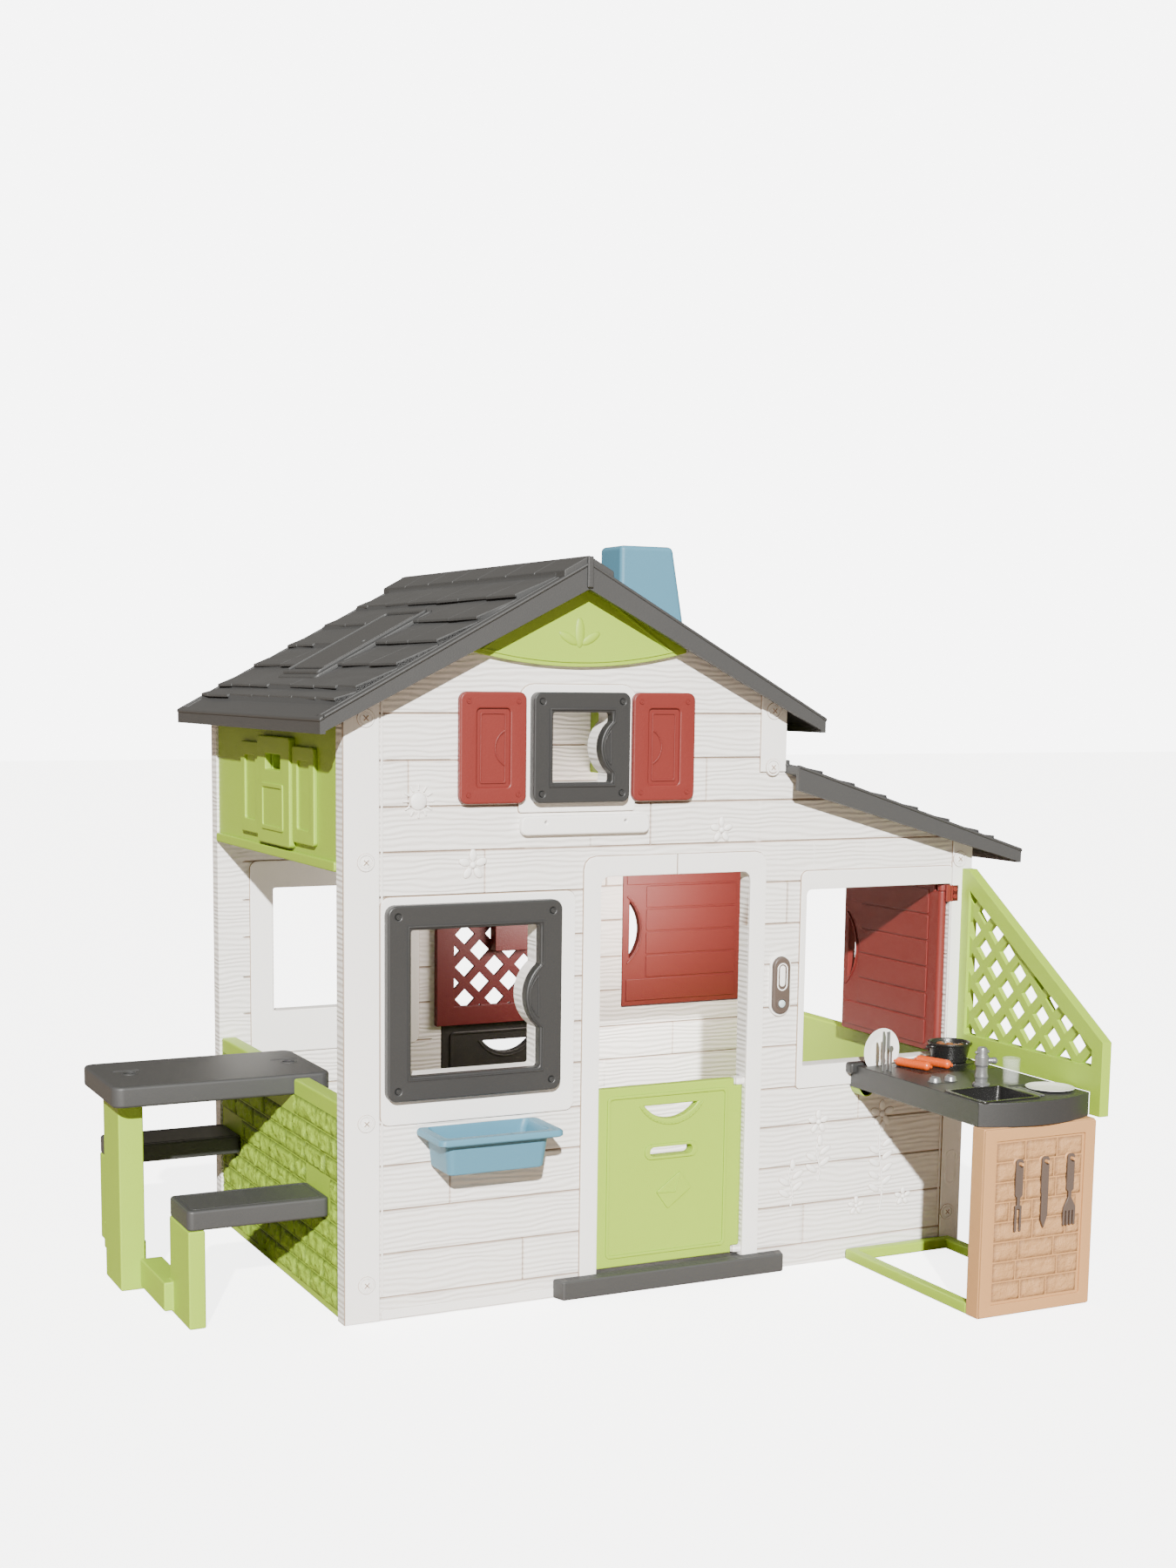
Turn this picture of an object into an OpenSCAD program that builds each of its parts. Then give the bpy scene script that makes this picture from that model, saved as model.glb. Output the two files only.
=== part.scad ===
// Garden playhouse with a picnic table on its left and a summer kitchen on its right.
// Millimetres, +Z up, +X to the right seen from the front, +Y from the front face to the back.
// The origin is on the ground, in the middle of the front doorway, at the front face of the wall.
// The rear wall repeats the front wall's mouldings, moved back by the depth of the house.

/* [House] */
// Length of the house from end post to end post
house_l = 1640; // [1600:10:2000]
// Depth of the house from its front face to its rear face
house_d = 966; // [820:2:1180]
// Thickness of a moulded wall
wall_t = 40; // [34:1:48]
// Width of the two-storey part, from the left end
storey_w = 1094; // [1070:2:1130]
// Thickness of a side panel
panel_t = 40; // [24:1:48]
// Height of the low brick panels
brick_h = 485; // [460:5:560]
// Height at which the upper left panel starts
upper_z = 988; // [900:2:1080]

/* [Roofs] */
// Height of the main ridge
ridge_z = 1665; // [1600:5:1750]
// Height of the main roof's top face at its eaves
eave_z = 1330; // [1300:5:1400]
// Overhang of the roofs over the front and rear faces
roof_over = 60; // [40:2:90]
// Sideways overhang of the main roof
eave_over = 70; // [40:2:90]
// Height of the low roof where it meets the two-storey part
lean_top = 1222; // [1180:2:1260]
// Height of the low roof's top face at its eave
lean_eave = 1012; // [990:2:1060]
// Sideways overhang of the low roof
lean_over = 105; // [60:5:140]
// Thickness of a roof shell, measured upright
roof_t = 30; // [22:1:40]
// Depth of the fascia at the ridge
fascia_ridge = 68; // [50:1:90]
// Depth of the fascia at an eave
fascia_eave = 44; // [36:1:60]
// Thickness of a fascia
fascia_t = 12; // [8:1:18]
// Width of one row of tiles, measured level
tile_row = 92; // [70:1:120]
// Height of the step between two rows of tiles
tile_step = 12; // [6:1:16]
// Width of the plain strips along the gables
verge = 45; // [20:1:60]
// Width of the plain strip along an eave
eave_strip = 50; // [20:1:70]

/* [Chimney] */
// Distance of the chimney's left face from the ridge
chimney_off = 366; // [250:2:420]
// Size of the chimney's top along the house
chimney_l = 148; // [100:2:180]
// Size of the chimney's top across the house
chimney_w = 117; // [80:1:150]
// Height of the chimney's top above the ridge
chimney_up = 70; // [30:2:120]
// Distance of the chimney's front face from the front of the house
chimney_y = 492; // [300:2:600]
// Sideways spread of the chimney's right face for each millimetre of height
chimney_taper = 0.18; // [0.1:0.01:0.25]

/* [Doorways] */
// Distance of the doorway from the left end
door_x = 614; // [600:2:640]
// Width of a doorway
door_w = 390; // [360:2:420]
// Height of a doorway
door_h = 964; // [900:2:1020]
// Height of a half-door's top edge
half_door_top = 475; // [420:5:560]
// Height of a doorstep
step_h = 45; // [30:1:50]
// Width of a doorstep's tread
step_w = 611; // [560:2:660]
// How far a doorstep stands out from the wall
step_out = 35; // [25:1:60]
// Play around a half-door or a shutter
leaf_play = 3; // [2:0.5:5]
// Thickness of a half-door or a shutter
leaf_t = 22; // [16:1:26]

/* [Windows] */
// Left edge of the big window's opening
win_x = 146; // [130:2:170]
// Width of the big window's opening
win_w = 307; // [280:2:330]
// Height of the big window's sill
win_z = 546; // [520:2:600]
// Height of the big window's opening
win_h = 320; // [280:2:340]
// Width of the border of the big window's frame
win_border = 54; // [40:1:70]
// Left edge of the gable window's opening
gwin_x = 479; // [460:1:490]
// Width of the gable window's opening
gwin_w = 145; // [120:1:160]
// Height of the gable window's sill
gwin_z = 1177; // [1150:1:1200]
// Height of the gable window's opening
gwin_h = 154; // [120:1:170]
// Width of the border of the gable window's frame
gwin_border = 46; // [30:1:52]
// How far a window frame stands out from the wall
frame_out = 28; // [18:1:40]
// Width of a decorative gable shutter
gshut_w = 158; // [130:1:165]
// Gap between a gable shutter and the gable window's frame
gshut_gap = 13; // [8:1:20]
// How far a gable shutter stands out from the wall
gshut_out = 18; // [10:1:26]

/* [Hatch] */
// Distance of the hatch's right edge from the right end
hatch_edge = 63; // [55:1:80]
// Width of the hatch
hatch_w = 416; // [380:2:440]
// Height of the hatch's sill
hatch_z = 492; // [488:1:560]
// Height of the hatch
hatch_h = 424; // [380:2:460]

/* [Hinges and screws] */
// Radius of a hinge pin
pin_r = 5; // [3:0.5:6]
// Running clearance around a pin, a stem or a peg
run = 0.05; // [0.02:0.01:0.08]
// Height of a hinge lug
lug_h = 16; // [12:1:24]
// Radius of a wall screw's head
screw_r = 14; // [10:1:18]
// Radius of a frame screw's head
small_screw_r = 6; // [4:0.5:8]

/* [Planter and bell] */
// Left edge of the planter's rim
planter_x = 165; // [150:5:200]
// Length of the planter's rim
planter_l = 295; // [240:5:340]
// Depth of the planter's rim
planter_w = 148; // [100:2:180]
// Height of the planter's rim above the ground
planter_z = 427; // [400:1:440]
// Depth of the planter's trough
planter_h = 87; // [60:1:120]
// Distance of the bell's middle from the doorway's right edge
bell_off = 89; // [80:1:110]
// Width of the bell's plate
bell_w = 46; // [40:1:60]
// Height of the bell's plate
bell_h = 136; // [110:1:160]
// Height of the bell's middle above the ground
bell_z = 691; // [650:1:740]
// Radius of the bell's button
button_r = 9; // [7:0.5:12]
// Travel of the bell's button
button_travel = 3; // [2:0.5:4]

/* [Picnic table] */
// Length of the table top
table_l = 512; // [450:2:620]
// Width of the table top
table_w = 310; // [260:2:380]
// Height of the table top's upper face
table_z = 493; // [470:1:560]
// Thickness of the table top
table_t = 48; // [36:1:60]
// How far the table top reaches past the outer face of the brick panel
table_in = 95; // [60:1:140]
// Height of a bench's upper face
bench_z = 263; // [230:1:300]
// Thickness of a bench
bench_t = 45; // [30:1:50]
// Width of a bench
bench_w = 155; // [120:1:180]
// Length of a bench
bench_l = 321; // [280:1:360]
// Distance of each bench from the table's middle line
bench_off = 251; // [220:1:290]
// Distance of the table's middle line from the front face
table_y = 510; // [480:2:530]

/* [Kitchen] */
// Length of the worktop along the house
top_l = 310; // [280:2:340]
// Depth of the worktop at its corners
top_d = 500; // [460:5:560]
// How far the worktop's front edge bows out
top_bow = 40; // [20:1:60]
// Height of the worktop's upper face
top_z = 487; // [470:1:488]
// Thickness of the worktop
top_t = 55; // [40:1:65]
// Thickness of the kitchen's leg panel
leg_t = 43; // [30:1:55]
// Thickness of the trellis beside the worktop
lattice_t = 26; // [16:1:30]
// Height of the trellis where it meets the wall
lattice_z = 952; // [850:2:980]
// Height of the trellis at its front post
lattice_front_z = 605; // [560:5:680]
// Width of a trellis slat
slat_w = 22; // [14:1:28]
// Distance between two slats
slat_pitch = 62; // [50:1:80]
// Radius of a plate
plate_r = 55; // [45:1:57]
// Radius of the pot at its rim
pot_r = 52; // [40:1:54]
// Height of the pot
pot_h = 48; // [36:1:60]

/* [Hidden] */
$fn = 48;
eps = 0.01;
// Play between a roof and the pieces it lies on
roof_play = 0.1;
rear_y = house_d - wall_t;
seam_x = door_x + door_w / 2;
ridge_x = storey_w / 2;
main_slope = (ridge_z - eave_z) / (ridge_x + eave_over);
lean_end = house_l + lean_over;
lean_slope = (lean_top - lean_eave) / (lean_end - storey_w);
roof_y0 = -roof_over;
roof_y1 = house_d + roof_over;

// The leaves turn about pins in the middle of their rounded right edge
barrel_r = leaf_t / 2;
axis_gap = barrel_r + 1;
axis_y = 2 + barrel_r;
leaf_z0 = step_h + 7;
door_axis_x = door_x + door_w - axis_gap;
door_leaf_w = door_w - axis_gap - leaf_play;
door_leaf_h = half_door_top - leaf_z0;
hatch_x = house_l - hatch_edge - hatch_w;
shut_axis_x = hatch_x + hatch_w - axis_gap;
shut_leaf_w = hatch_w - axis_gap - leaf_play;
shut_leaf_h = hatch_h - 2 * leaf_play;
shut_z0 = hatch_z + leaf_play;
notch = barrel_r + 4;
pin_in = 24;

// Half-moon finger holes and the matching bulges of the windows
moon_w = 142;
moon_d = 34;
shut_moon_w = 160;
shut_moon_d = 33;

gframe_x = gwin_x - gwin_border;
gframe_w = gwin_w + 2 * gwin_border;
gframe_z = gwin_z - gwin_border + 2;
gframe_h = gwin_h + 2 * gwin_border - 4;
gshut_x1 = gframe_x - gshut_gap - gshut_w;
gshut_x2 = gframe_x + gframe_w + gshut_gap;

panel_x = 5;
table_x1 = panel_x + table_in;
table_x0 = table_x1 - table_l;
leg_x = table_x0 + 29;
leg_l = 58;
leg_w = 145;
support_x = panel_x - bench_l;
support_l = 38;
beam_z0 = 8;
beam_h = 66;

top_x = house_l - 30 - top_l;
leg_y0 = -top_d - 24;
lattice_x = top_x + top_l + 0.3;
post_w = 36;
tube_w = 26;
peg_z = top_z - top_t - 84;
peg_r = 4;
peg_x = [for (i = [0:2]) top_x + 94 + 72 * i];
tool_t = 5;
tool_y = leg_y0 - 6 - tool_t;
hook_len = 22;
tap_x = top_x + 122;
tap_y = -350;
knob_x = [top_x + 52, top_x + 96];
knob_y = -270;
pot_x = top_x + 246;
pot_y = -pot_r - 12;
glass_x = top_x + 205;
glass_y = -352;
plate_x = top_x + top_l - plate_r - 8;
plate_y = -top_d + plate_r + 6;
rack_x = top_x + 62;
rack_y = -40;
rack_turn = 6;
rack_sink = 21;
sink_x = top_x + 12;
sink_l = 146;
sink_y = -top_d - 4;
sink_w = 133;
sink_d = 38;

trellis_x = door_x - 20;
trellis_w = door_w + 40;
trellis_z = half_door_top + 3;
trellis_top = door_h + 4;
trellis_t = 20;
trellis_border = 50;

white = [0.90, 0.89, 0.86];
green = [0.74, 0.83, 0.42];
grey = [0.37, 0.38, 0.39];
charcoal = [0.16, 0.15, 0.14];
red = [0.79, 0.41, 0.36];
dark_red = [0.52, 0.17, 0.17];
blue = [0.56, 0.70, 0.75];
beige = [0.84, 0.74, 0.62];
bell_grey = [0.50, 0.46, 0.43];
steel = [0.62, 0.63, 0.64];
orange = [0.90, 0.38, 0.10];

// Height of the main roof's top face above x, and of the low roof's
function main_top(x) = ridge_z - abs(x - ridge_x) * main_slope;
function lean_at(x) = lean_eave + (lean_end - x) * lean_slope;
// Where the pieces under the main roof and under the low roof end above x
function under_main(x) = main_top(x) - roof_t - roof_play;
function under_lean(x) = lean_at(x) - roof_t - roof_play;
// Radius of the arc over a chord w with height d
function arc_r(w, d) = (w * w / 4 + d * d) / (2 * d);

// x is counted from the left end of the house in all that follows
module in_house() translate([-seam_x, 0, 0]) children();
module at_rear() translate([0, rear_y, 0]) children();

// A flat outline in x and z, given thickness from y0 to y1
module slab_y(y0, y1) translate([0, y1, 0]) rotate([90, 0, 0]) linear_extrude(y1 - y0) children();
// A flat outline in y and z, given thickness from x0 to x1
module slab_x(x0, x1) translate([x0, 0, 0]) rotate([90, 0, 90]) linear_extrude(x1 - x0) children();
// A rod along y from y0 to y1
module rod_y(x, y0, y1, z, r) translate([x, y1, z]) rotate([90, 0, 0]) cylinder(y1 - y0, r = r);
module block(x, y, z) translate([x[0], y[0], z[0]]) cube([x[1] - x[0], y[1] - y[0], z[1] - z[0]]);

// Rectangle with round corners
module rounded(x, z, w, h, r) {
    translate([x + r, z]) square([w - 2 * r, h]);
    translate([x, z + r]) square([w, h - 2 * r]);
    for (cx = [x + r, x + w - r], cz = [z + r, z + h - r]) translate([cx, cz]) circle(r);
}

// Segment of a circle over a flat chord of width w, d high, pointing down
module moon(w, d) {
    intersection() {
        translate([0, arc_r(w, d) - d]) circle(arc_r(w, d), $fn = 96);
        translate([-w, -2 * d]) square([2 * w, 2 * d]);
    }
}

// Window opening with the half-moon bulge on its right edge
module window_opening(x, z, w, h, bulge_w, bulge_d, r) {
    difference() {
        rounded(x, z, w, h, r);
        translate([x + w + eps, z + h / 2]) rotate(-90) moon(bulge_w, bulge_d);
    }
}

module big_opening() window_opening(win_x, win_z, win_w, win_h, moon_w, moon_d, 6);
module gable_opening() window_opening(gwin_x, gwin_z, gwin_w, gwin_h, moon_w * 0.8, moon_d * 0.8, 5);

// ---------------------------------------------------------------- walls

module left_outline() {
    polygon([[0, 0], [seam_x, 0], [seam_x, under_main(seam_x)], [ridge_x, under_main(ridge_x)],
        [0, under_main(0)]]);
}

module right_outline() {
    polygon([[seam_x, 0], [house_l, 0], [house_l, under_lean(house_l)], [storey_w, under_lean(storey_w)],
        [storey_w, under_main(storey_w)], [seam_x, under_main(seam_x)]]);
}

module doorway() translate([door_x, -1]) square([door_w, door_h + 1]);

function wall_screw_sites() = [[50, 1318], [50, 1013], [50, 447], [50, 87],
    [storey_w - 37, 1335], [storey_w - 37, 1205], [house_l - 39, 88], [house_l - 39, 996]];
screw_depth = 26;
shank_r = 5;

module wall_screw(x, z, side) {
    translate([x, side > 0 ? wall_t : 0, z]) rotate([side > 0 ? 90 : -90, 0, 0]) {
        translate([0, 0, -2]) cylinder(6, r = screw_r);
        cylinder(screw_depth, r = shank_r);
    }
}

module wall_screw_bore(x, z, side) {
    translate([x, side > 0 ? wall_t : 0, z]) rotate([side > 0 ? 90 : -90, 0, 0]) {
        translate([0, 0, -3]) cylinder(7, r = screw_r + run);
        cylinder(screw_depth + 1, r = shank_r + run);
    }
}

// A lug that reaches from the jamb round a hinge pin
module lug(x, z, h) {
    difference() {
        union() {
            translate([x, axis_y, z]) cylinder(h, r = barrel_r);
            block([x, x + axis_gap], [axis_y - barrel_r, axis_y + barrel_r], [z, z + h]);
        }
        translate([x, axis_y, z - 1]) cylinder(h + 2, r = pin_r + run);
    }
}

module wall_left(side) {
    difference() {
        slab_y(0, wall_t) left_outline();
        slab_y(-1, wall_t + 1) {
            doorway();
            big_opening();
            gable_opening();
        }
        for (s = wall_screw_sites()) if (s[0] < seam_x) wall_screw_bore(s[0], s[1], side);
    }
}

module wall_right(side) {
    difference() {
        slab_y(0, wall_t) right_outline();
        slab_y(-1, wall_t + 1) {
            doorway();
            rounded(hatch_x, hatch_z, hatch_w, hatch_h, leaf_play);
        }
        for (s = wall_screw_sites()) if (s[0] > seam_x) wall_screw_bore(s[0], s[1], side);
    }
    lug(door_axis_x, leaf_z0, lug_h);
    lug(door_axis_x, half_door_top - lug_h, lug_h);
    lug(shut_axis_x, shut_z0, lug_h);
}

module front_wall_left() color(white) in_house() wall_left(-1);
module front_wall_right() color(white) in_house() wall_right(-1);
module rear_wall_left() color(white) in_house() at_rear() wall_left(1);
module rear_wall_right() color(white) in_house() at_rear() wall_right(1);

module front_wall_screws() color(white) in_house() {
    for (s = wall_screw_sites()) wall_screw(s[0], s[1], -1);
}

module rear_wall_screws() color(white) in_house() at_rear() {
    for (s = wall_screw_sites()) wall_screw(s[0], s[1], 1);
}

// ---------------------------------------------------------------- gable boards

board_t = 14;
board_half = 270;
board_low = 1430;
board_sag = 34;

module gable_board_outline() {
    arc = arc_r(2 * board_half, board_sag);
    intersection() {
        polygon([[ridge_x - board_half, board_low], [ridge_x + board_half, board_low],
            [ridge_x + board_half, under_main(ridge_x + board_half)], [ridge_x, under_main(ridge_x)],
            [ridge_x - board_half, under_main(ridge_x - board_half)]]);
        translate([ridge_x, board_low + arc]) circle(arc, $fn = 128);
    }
}

module front_gable_board() color(green) in_house() slab_y(-board_t, 0) gable_board_outline();
module rear_gable_board() color(green) in_house() slab_y(house_d, house_d + board_t) gable_board_outline();

// ---------------------------------------------------------------- roofs

// Rows of tiles on a slope that falls to the right from (0, 0) over w. The first row above the
// plain strip along the eave is half as wide as the rest, and the last one ends at the ridge cap
function row_count(w) = floor((w - eave_strip) / tile_row - 0.5);
function row_low(w, i) = w - eave_strip - (i == 0 ? 0 : tile_row * (i - 0.5));
function on_slope(x, slope, up) = [x, -x * slope + up];
function tiles(w, slope) = [for (i = [0:row_count(w) + 1])
    each [on_slope(row_low(w, i), slope, -tile_step), on_slope(row_low(w, i), slope, 0)]];

// A roof half that falls to the right from the origin: its shell, two fascias and its eave board
module roof_half(w, slope, deep, shallow) {
    shell = [on_slope(0, slope, -tile_step), on_slope(0, slope, -roof_t), on_slope(w, slope, -roof_t),
        on_slope(w, slope, -tile_step)];
    slab_y(roof_y0, roof_y1) polygon(shell);
    slab_y(roof_y0 + verge, roof_y1 - verge) polygon(concat([[0, 0]], [for (i = [1:3]) shell[i]], tiles(w, slope)));
    fascia = [[0, -roof_t + eps], [0, -deep], on_slope(w, slope, -shallow), on_slope(w, slope, -roof_t + eps)];
    for (y = [roof_y0, roof_y1 - fascia_t]) slab_y(y, y + fascia_t) polygon(fascia);
    block([w - fascia_t, w], [roof_y0, roof_y1], [-w * slope - shallow, -w * slope - roof_t + fascia_t * slope]);
}

module roof_right() color(grey) in_house() {
    translate([ridge_x, 0, ridge_z])
        roof_half(ridge_x + eave_over, main_slope, fascia_ridge, fascia_eave);
    chimney_seat();
}

module roof_left() color(grey) in_house() {
    translate([ridge_x, 0, ridge_z]) mirror([1, 0, 0])
        roof_half(ridge_x + eave_over, main_slope, fascia_ridge, fascia_eave);
}

module lean_to_roof() color(grey) in_house() {
    translate([storey_w, 0, lean_top])
        roof_half(lean_end - storey_w, lean_slope, fascia_ridge, fascia_eave);
}

// The chimney stands on a flat seat that is raised over the tiles
ch_x0 = ridge_x + chimney_off;
ch_x1 = ch_x0 + chimney_l;
ch_top = ridge_z + chimney_up;
ch_base = ch_x1 + chimney_taper * (ch_top - main_top(ch_x1)) / (1 - chimney_taper * main_slope);
seat_up = 6;
seat_rim = 12;

module chimney_seat() {
    x0 = ch_x0 - seat_rim;
    x1 = ch_base + seat_rim;
    slab_y(chimney_y - seat_rim, chimney_y + chimney_w + seat_rim)
        polygon([[x0, main_top(x0) - roof_t / 2 - tile_step / 2], [x1, main_top(x1) - roof_t / 2 - tile_step / 2],
            [x1, main_top(x1) + seat_up], [x0, main_top(x0) + seat_up]]);
}

module chimney() color(blue) in_house() {
    slab_y(chimney_y, chimney_y + chimney_w)
        polygon([[ch_x0, main_top(ch_x0) + seat_up + roof_play], [ch_base, main_top(ch_base) + seat_up + roof_play],
            [ch_x1, ch_top], [ch_x0, ch_top]]);
}

// ---------------------------------------------------------------- side panels

in_y0 = wall_t;
in_y1 = rear_y;
vent_w = 110;
vent_h = 36;
vent_y = 440;
vent_z = 1209;

module left_upper_panel() color(green) in_house() difference() {
    slab_y(in_y0, in_y1)
        polygon([[panel_x, upper_z], [panel_x + panel_t, upper_z],
            [panel_x + panel_t, under_main(panel_x + panel_t)], [panel_x, under_main(panel_x)]]);
    block([0, panel_x + panel_t + 5], [vent_y - vent_w / 2, vent_y + vent_w / 2],
        [vent_z - vent_h / 2, vent_z + vent_h / 2]);
}

// The table top passes through a notch in the left brick panel
table_y0 = table_y - table_w / 2;
table_y1 = table_y + table_w / 2;
seat_gap = 0.3;
tongue_l = 18;
tongue_w = 60;
tongue_t = 20;

module left_brick_panel() color(green) in_house() difference() {
    block([panel_x, panel_x + panel_t], [in_y0, in_y1], [0, brick_h]);
    block([0, panel_x + panel_t + 5], [table_y0 - 6, table_y1 + 6], [table_z - table_t, brick_h + 60]);
    for (i = [0, 1]) {
        y = bench_mid(i);
        block([panel_x - 1, panel_x + tongue_l + 1], [y - tongue_w / 2 - seat_gap, y + tongue_w / 2 + seat_gap],
            [bench_z - bench_t / 2 - tongue_t / 2 - seat_gap, bench_z - bench_t / 2 + tongue_t / 2 + seat_gap]);
    }
}

// Middle of the front bench (0) and of the rear bench (1)
function bench_mid(i) = table_y + (2 * i - 1) * (bench_off + bench_w / 2);

module right_upper_panel() color(green) in_house() {
    x1 = storey_w - 1;
    slab_y(in_y0, in_y1)
        polygon([[x1 - panel_t, lean_top - roof_t - 40], [x1, lean_top - roof_t - 40],
            [x1, under_main(x1)], [x1 - panel_t, under_main(x1 - panel_t)]]);
}

module right_brick_panel() color(green) in_house() {
    block([house_l - panel_x - panel_t, house_l - panel_x], [in_y0, in_y1], [0, brick_h]);
}

// ---------------------------------------------------------------- windows and their trim

module small_screw_bores(x, z, w, h, face, inset) {
    for (cx = [x + inset, x + w - inset], cz = [z + inset, z + h - inset])
        rod_y(cx, face - 1, face + 6, cz, small_screw_r + run);
}

module small_screws(x, z, w, h, face, inset) {
    for (cx = [x + inset, x + w - inset], cz = [z + inset, z + h - inset])
        rod_y(cx, face - 1, face + 6, cz, small_screw_r);
}

screw_inset = 20;

module window_frame() color(grey) in_house() difference() {
    slab_y(-frame_out, 0) difference() {
        rounded(win_x - win_border, win_z - win_border, win_w + 2 * win_border, win_h + 2 * win_border, 22);
        big_opening();
    }
    small_screw_bores(win_x - win_border, win_z - win_border, win_w + 2 * win_border,
        win_h + 2 * win_border, -frame_out, screw_inset + 4);
}

module gable_window_frame() color(grey) in_house() difference() {
    slab_y(-frame_out, 0) difference() {
        rounded(gframe_x, gframe_z, gframe_w, gframe_h, 18);
        gable_opening();
    }
    small_screw_bores(gframe_x, gframe_z, gframe_w, gframe_h, -frame_out, screw_inset);
}

module gable_shutter(x) color(red) in_house() difference() {
    slab_y(-gshut_out, 0) rounded(x, gframe_z, gshut_w, gframe_h, 18);
    slab_y(-gshut_out - 1, -gshut_out + 5) rounded(x + 42, gframe_z + 38, gshut_w - 84, gframe_h - 76, 6);
    small_screw_bores(x, gframe_z, gshut_w, gframe_h, -gshut_out, screw_inset);
}

module gable_shutter_left() gable_shutter(gshut_x1);
module gable_shutter_right() gable_shutter(gshut_x2);

module frame_screws() color(grey) in_house() {
    small_screws(win_x - win_border, win_z - win_border, win_w + 2 * win_border,
        win_h + 2 * win_border, -frame_out, screw_inset + 4);
    small_screws(gframe_x, gframe_z, gframe_w, gframe_h, -frame_out, screw_inset);
    for (x = [gshut_x1, gshut_x2]) small_screws(x, gframe_z, gshut_w, gframe_h, -gshut_out, screw_inset);
}

// ---------------------------------------------------------------- doorsteps, doors and shutters

module doorstep() {
    mid = door_x + door_w / 2;
    block([door_x + 0.2, door_x + door_w - 0.2], [-1, wall_t + 1], [0, step_h]);
    for (y = [-step_out, wall_t]) linear_extrude(step_h)
        polygon([[mid - step_w / 2, y == wall_t ? y : 0], [mid - step_w / 2 + 12, y == wall_t ? y + step_out : y],
            [mid + step_w / 2 - 12, y == wall_t ? y + step_out : y], [mid + step_w / 2, y == wall_t ? y : 0]]);
}

module front_doorstep() color(grey) in_house() doorstep();
module rear_doorstep() color(grey) in_house() at_rear() doorstep();

module hinge_pins(x, z, h) {
    for (z0 = [z, z + h - lug_h - pin_in]) translate([x, axis_y, z0]) cylinder(lug_h + pin_in, r = pin_r);
}

module door_hinge_pins() color(white) in_house() {
    hinge_pins(door_axis_x, leaf_z0, door_leaf_h);
    at_rear() hinge_pins(door_axis_x, leaf_z0, door_leaf_h);
}

module shutter_hinge_pins() color(red) in_house() {
    hinge_pins(shut_axis_x, shut_z0, shut_leaf_h);
    at_rear() hinge_pins(shut_axis_x, shut_z0, shut_leaf_h);
}

// A leaf whose hinge axis stands on the origin; it reaches w to the left and starts at height 0
module leaf(w, h) {
    difference() {
        union() {
            block([-w, -notch], [-leaf_t / 2, leaf_t / 2], [0, h]);
            block([-notch - 1, 0], [-leaf_t / 2, leaf_t / 2], [lug_h + 1, h - lug_h - 1]);
            translate([0, 0, lug_h + 1]) cylinder(h - 2 * lug_h - 2, r = barrel_r);
        }
        for (z = [lug_h, h - lug_h - pin_in - 2]) translate([0, 0, z]) cylinder(pin_in + 2, r = pin_r + run);
        children();
    }
}

smile_z = half_door_top - 48;
slot_z = 317;
slot_w = 112;
slot_h = 22;

module half_door() {
    mid = -door_leaf_w + (door_w - 2 * leaf_play) / 2;
    translate([door_axis_x, axis_y, leaf_z0]) leaf(door_leaf_w, door_leaf_h)
        slab_y(-leaf_t, leaf_t) {
            translate([mid, smile_z - leaf_z0]) moon(moon_w, moon_d);
            rounded(mid - slot_w / 2, slot_z - slot_h / 2 - leaf_z0, slot_w, slot_h, 10);
        }
}

module shutter_leaf() {
    leaf(shut_leaf_w, shut_leaf_h)
        slab_y(-leaf_t, leaf_t)
            translate([-shut_leaf_w + 22, shut_leaf_h / 2 + 6]) rotate(90) moon(shut_moon_w, shut_moon_d);
}

module front_door() color(green) in_house() half_door();
module rear_door() color(charcoal) in_house() at_rear() half_door();

// The front shutter stands open into the house at rest, the rear one is shut
module front_shutter() color(red) in_house() {
    translate([shut_axis_x, axis_y, shut_z0]) rotate([0, 0, -90]) shutter_leaf();
}

module rear_shutter() color(red) in_house() at_rear() {
    translate([shut_axis_x, axis_y, shut_z0]) shutter_leaf();
}

// Clip that holds a shutter's upper pin, screwed to the face of the wall
clip_h = 42;
clip_t = 6;

module hinge_clip() {
    z1 = shut_z0 + shut_leaf_h;
    x1 = hatch_x + hatch_w + 24;
    block([shut_axis_x, x1], [-clip_t, 0], [z1 - clip_h, z1]);
    difference() {
        union() {
            translate([shut_axis_x, axis_y, z1 - lug_h]) cylinder(lug_h, r = barrel_r);
            block([shut_axis_x, hatch_x + hatch_w - leaf_play], [-clip_t / 2, axis_y + barrel_r],
                [z1 - lug_h, z1]);
        }
        translate([shut_axis_x, axis_y, z1 - lug_h - 1]) cylinder(lug_h + 2, r = pin_r + run);
    }
}

module shutter_hinge_clips() color(red) in_house() {
    hinge_clip();
    at_rear() hinge_clip();
}

// ---------------------------------------------------------------- planter, bell, rear trellis

planter_wall = 4;
planter_in = 25;
rim_h = 16;

module planter() color(blue) in_house() {
    z0 = planter_z - planter_h;
    difference() {
        union() {
            block([planter_x, planter_x + planter_l], [-planter_w, 0], [planter_z - rim_h, planter_z]);
            block([planter_x + planter_in, planter_x + planter_l - planter_in], [-planter_w + planter_in, 0],
                [z0, planter_z]);
        }
        block([planter_x + planter_in + planter_wall, planter_x + planter_l - planter_in - planter_wall],
            [-planter_w + planter_in + planter_wall, -planter_wall], [z0 + planter_wall, planter_z + 1]);
    }
}

bell_x = door_x + door_w + bell_off;
bell_t = 14;
bell_skin = 5;
button_z = bell_z - bell_h / 2 + bell_w / 2 + 2;
flange_r = button_r + 3;

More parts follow.
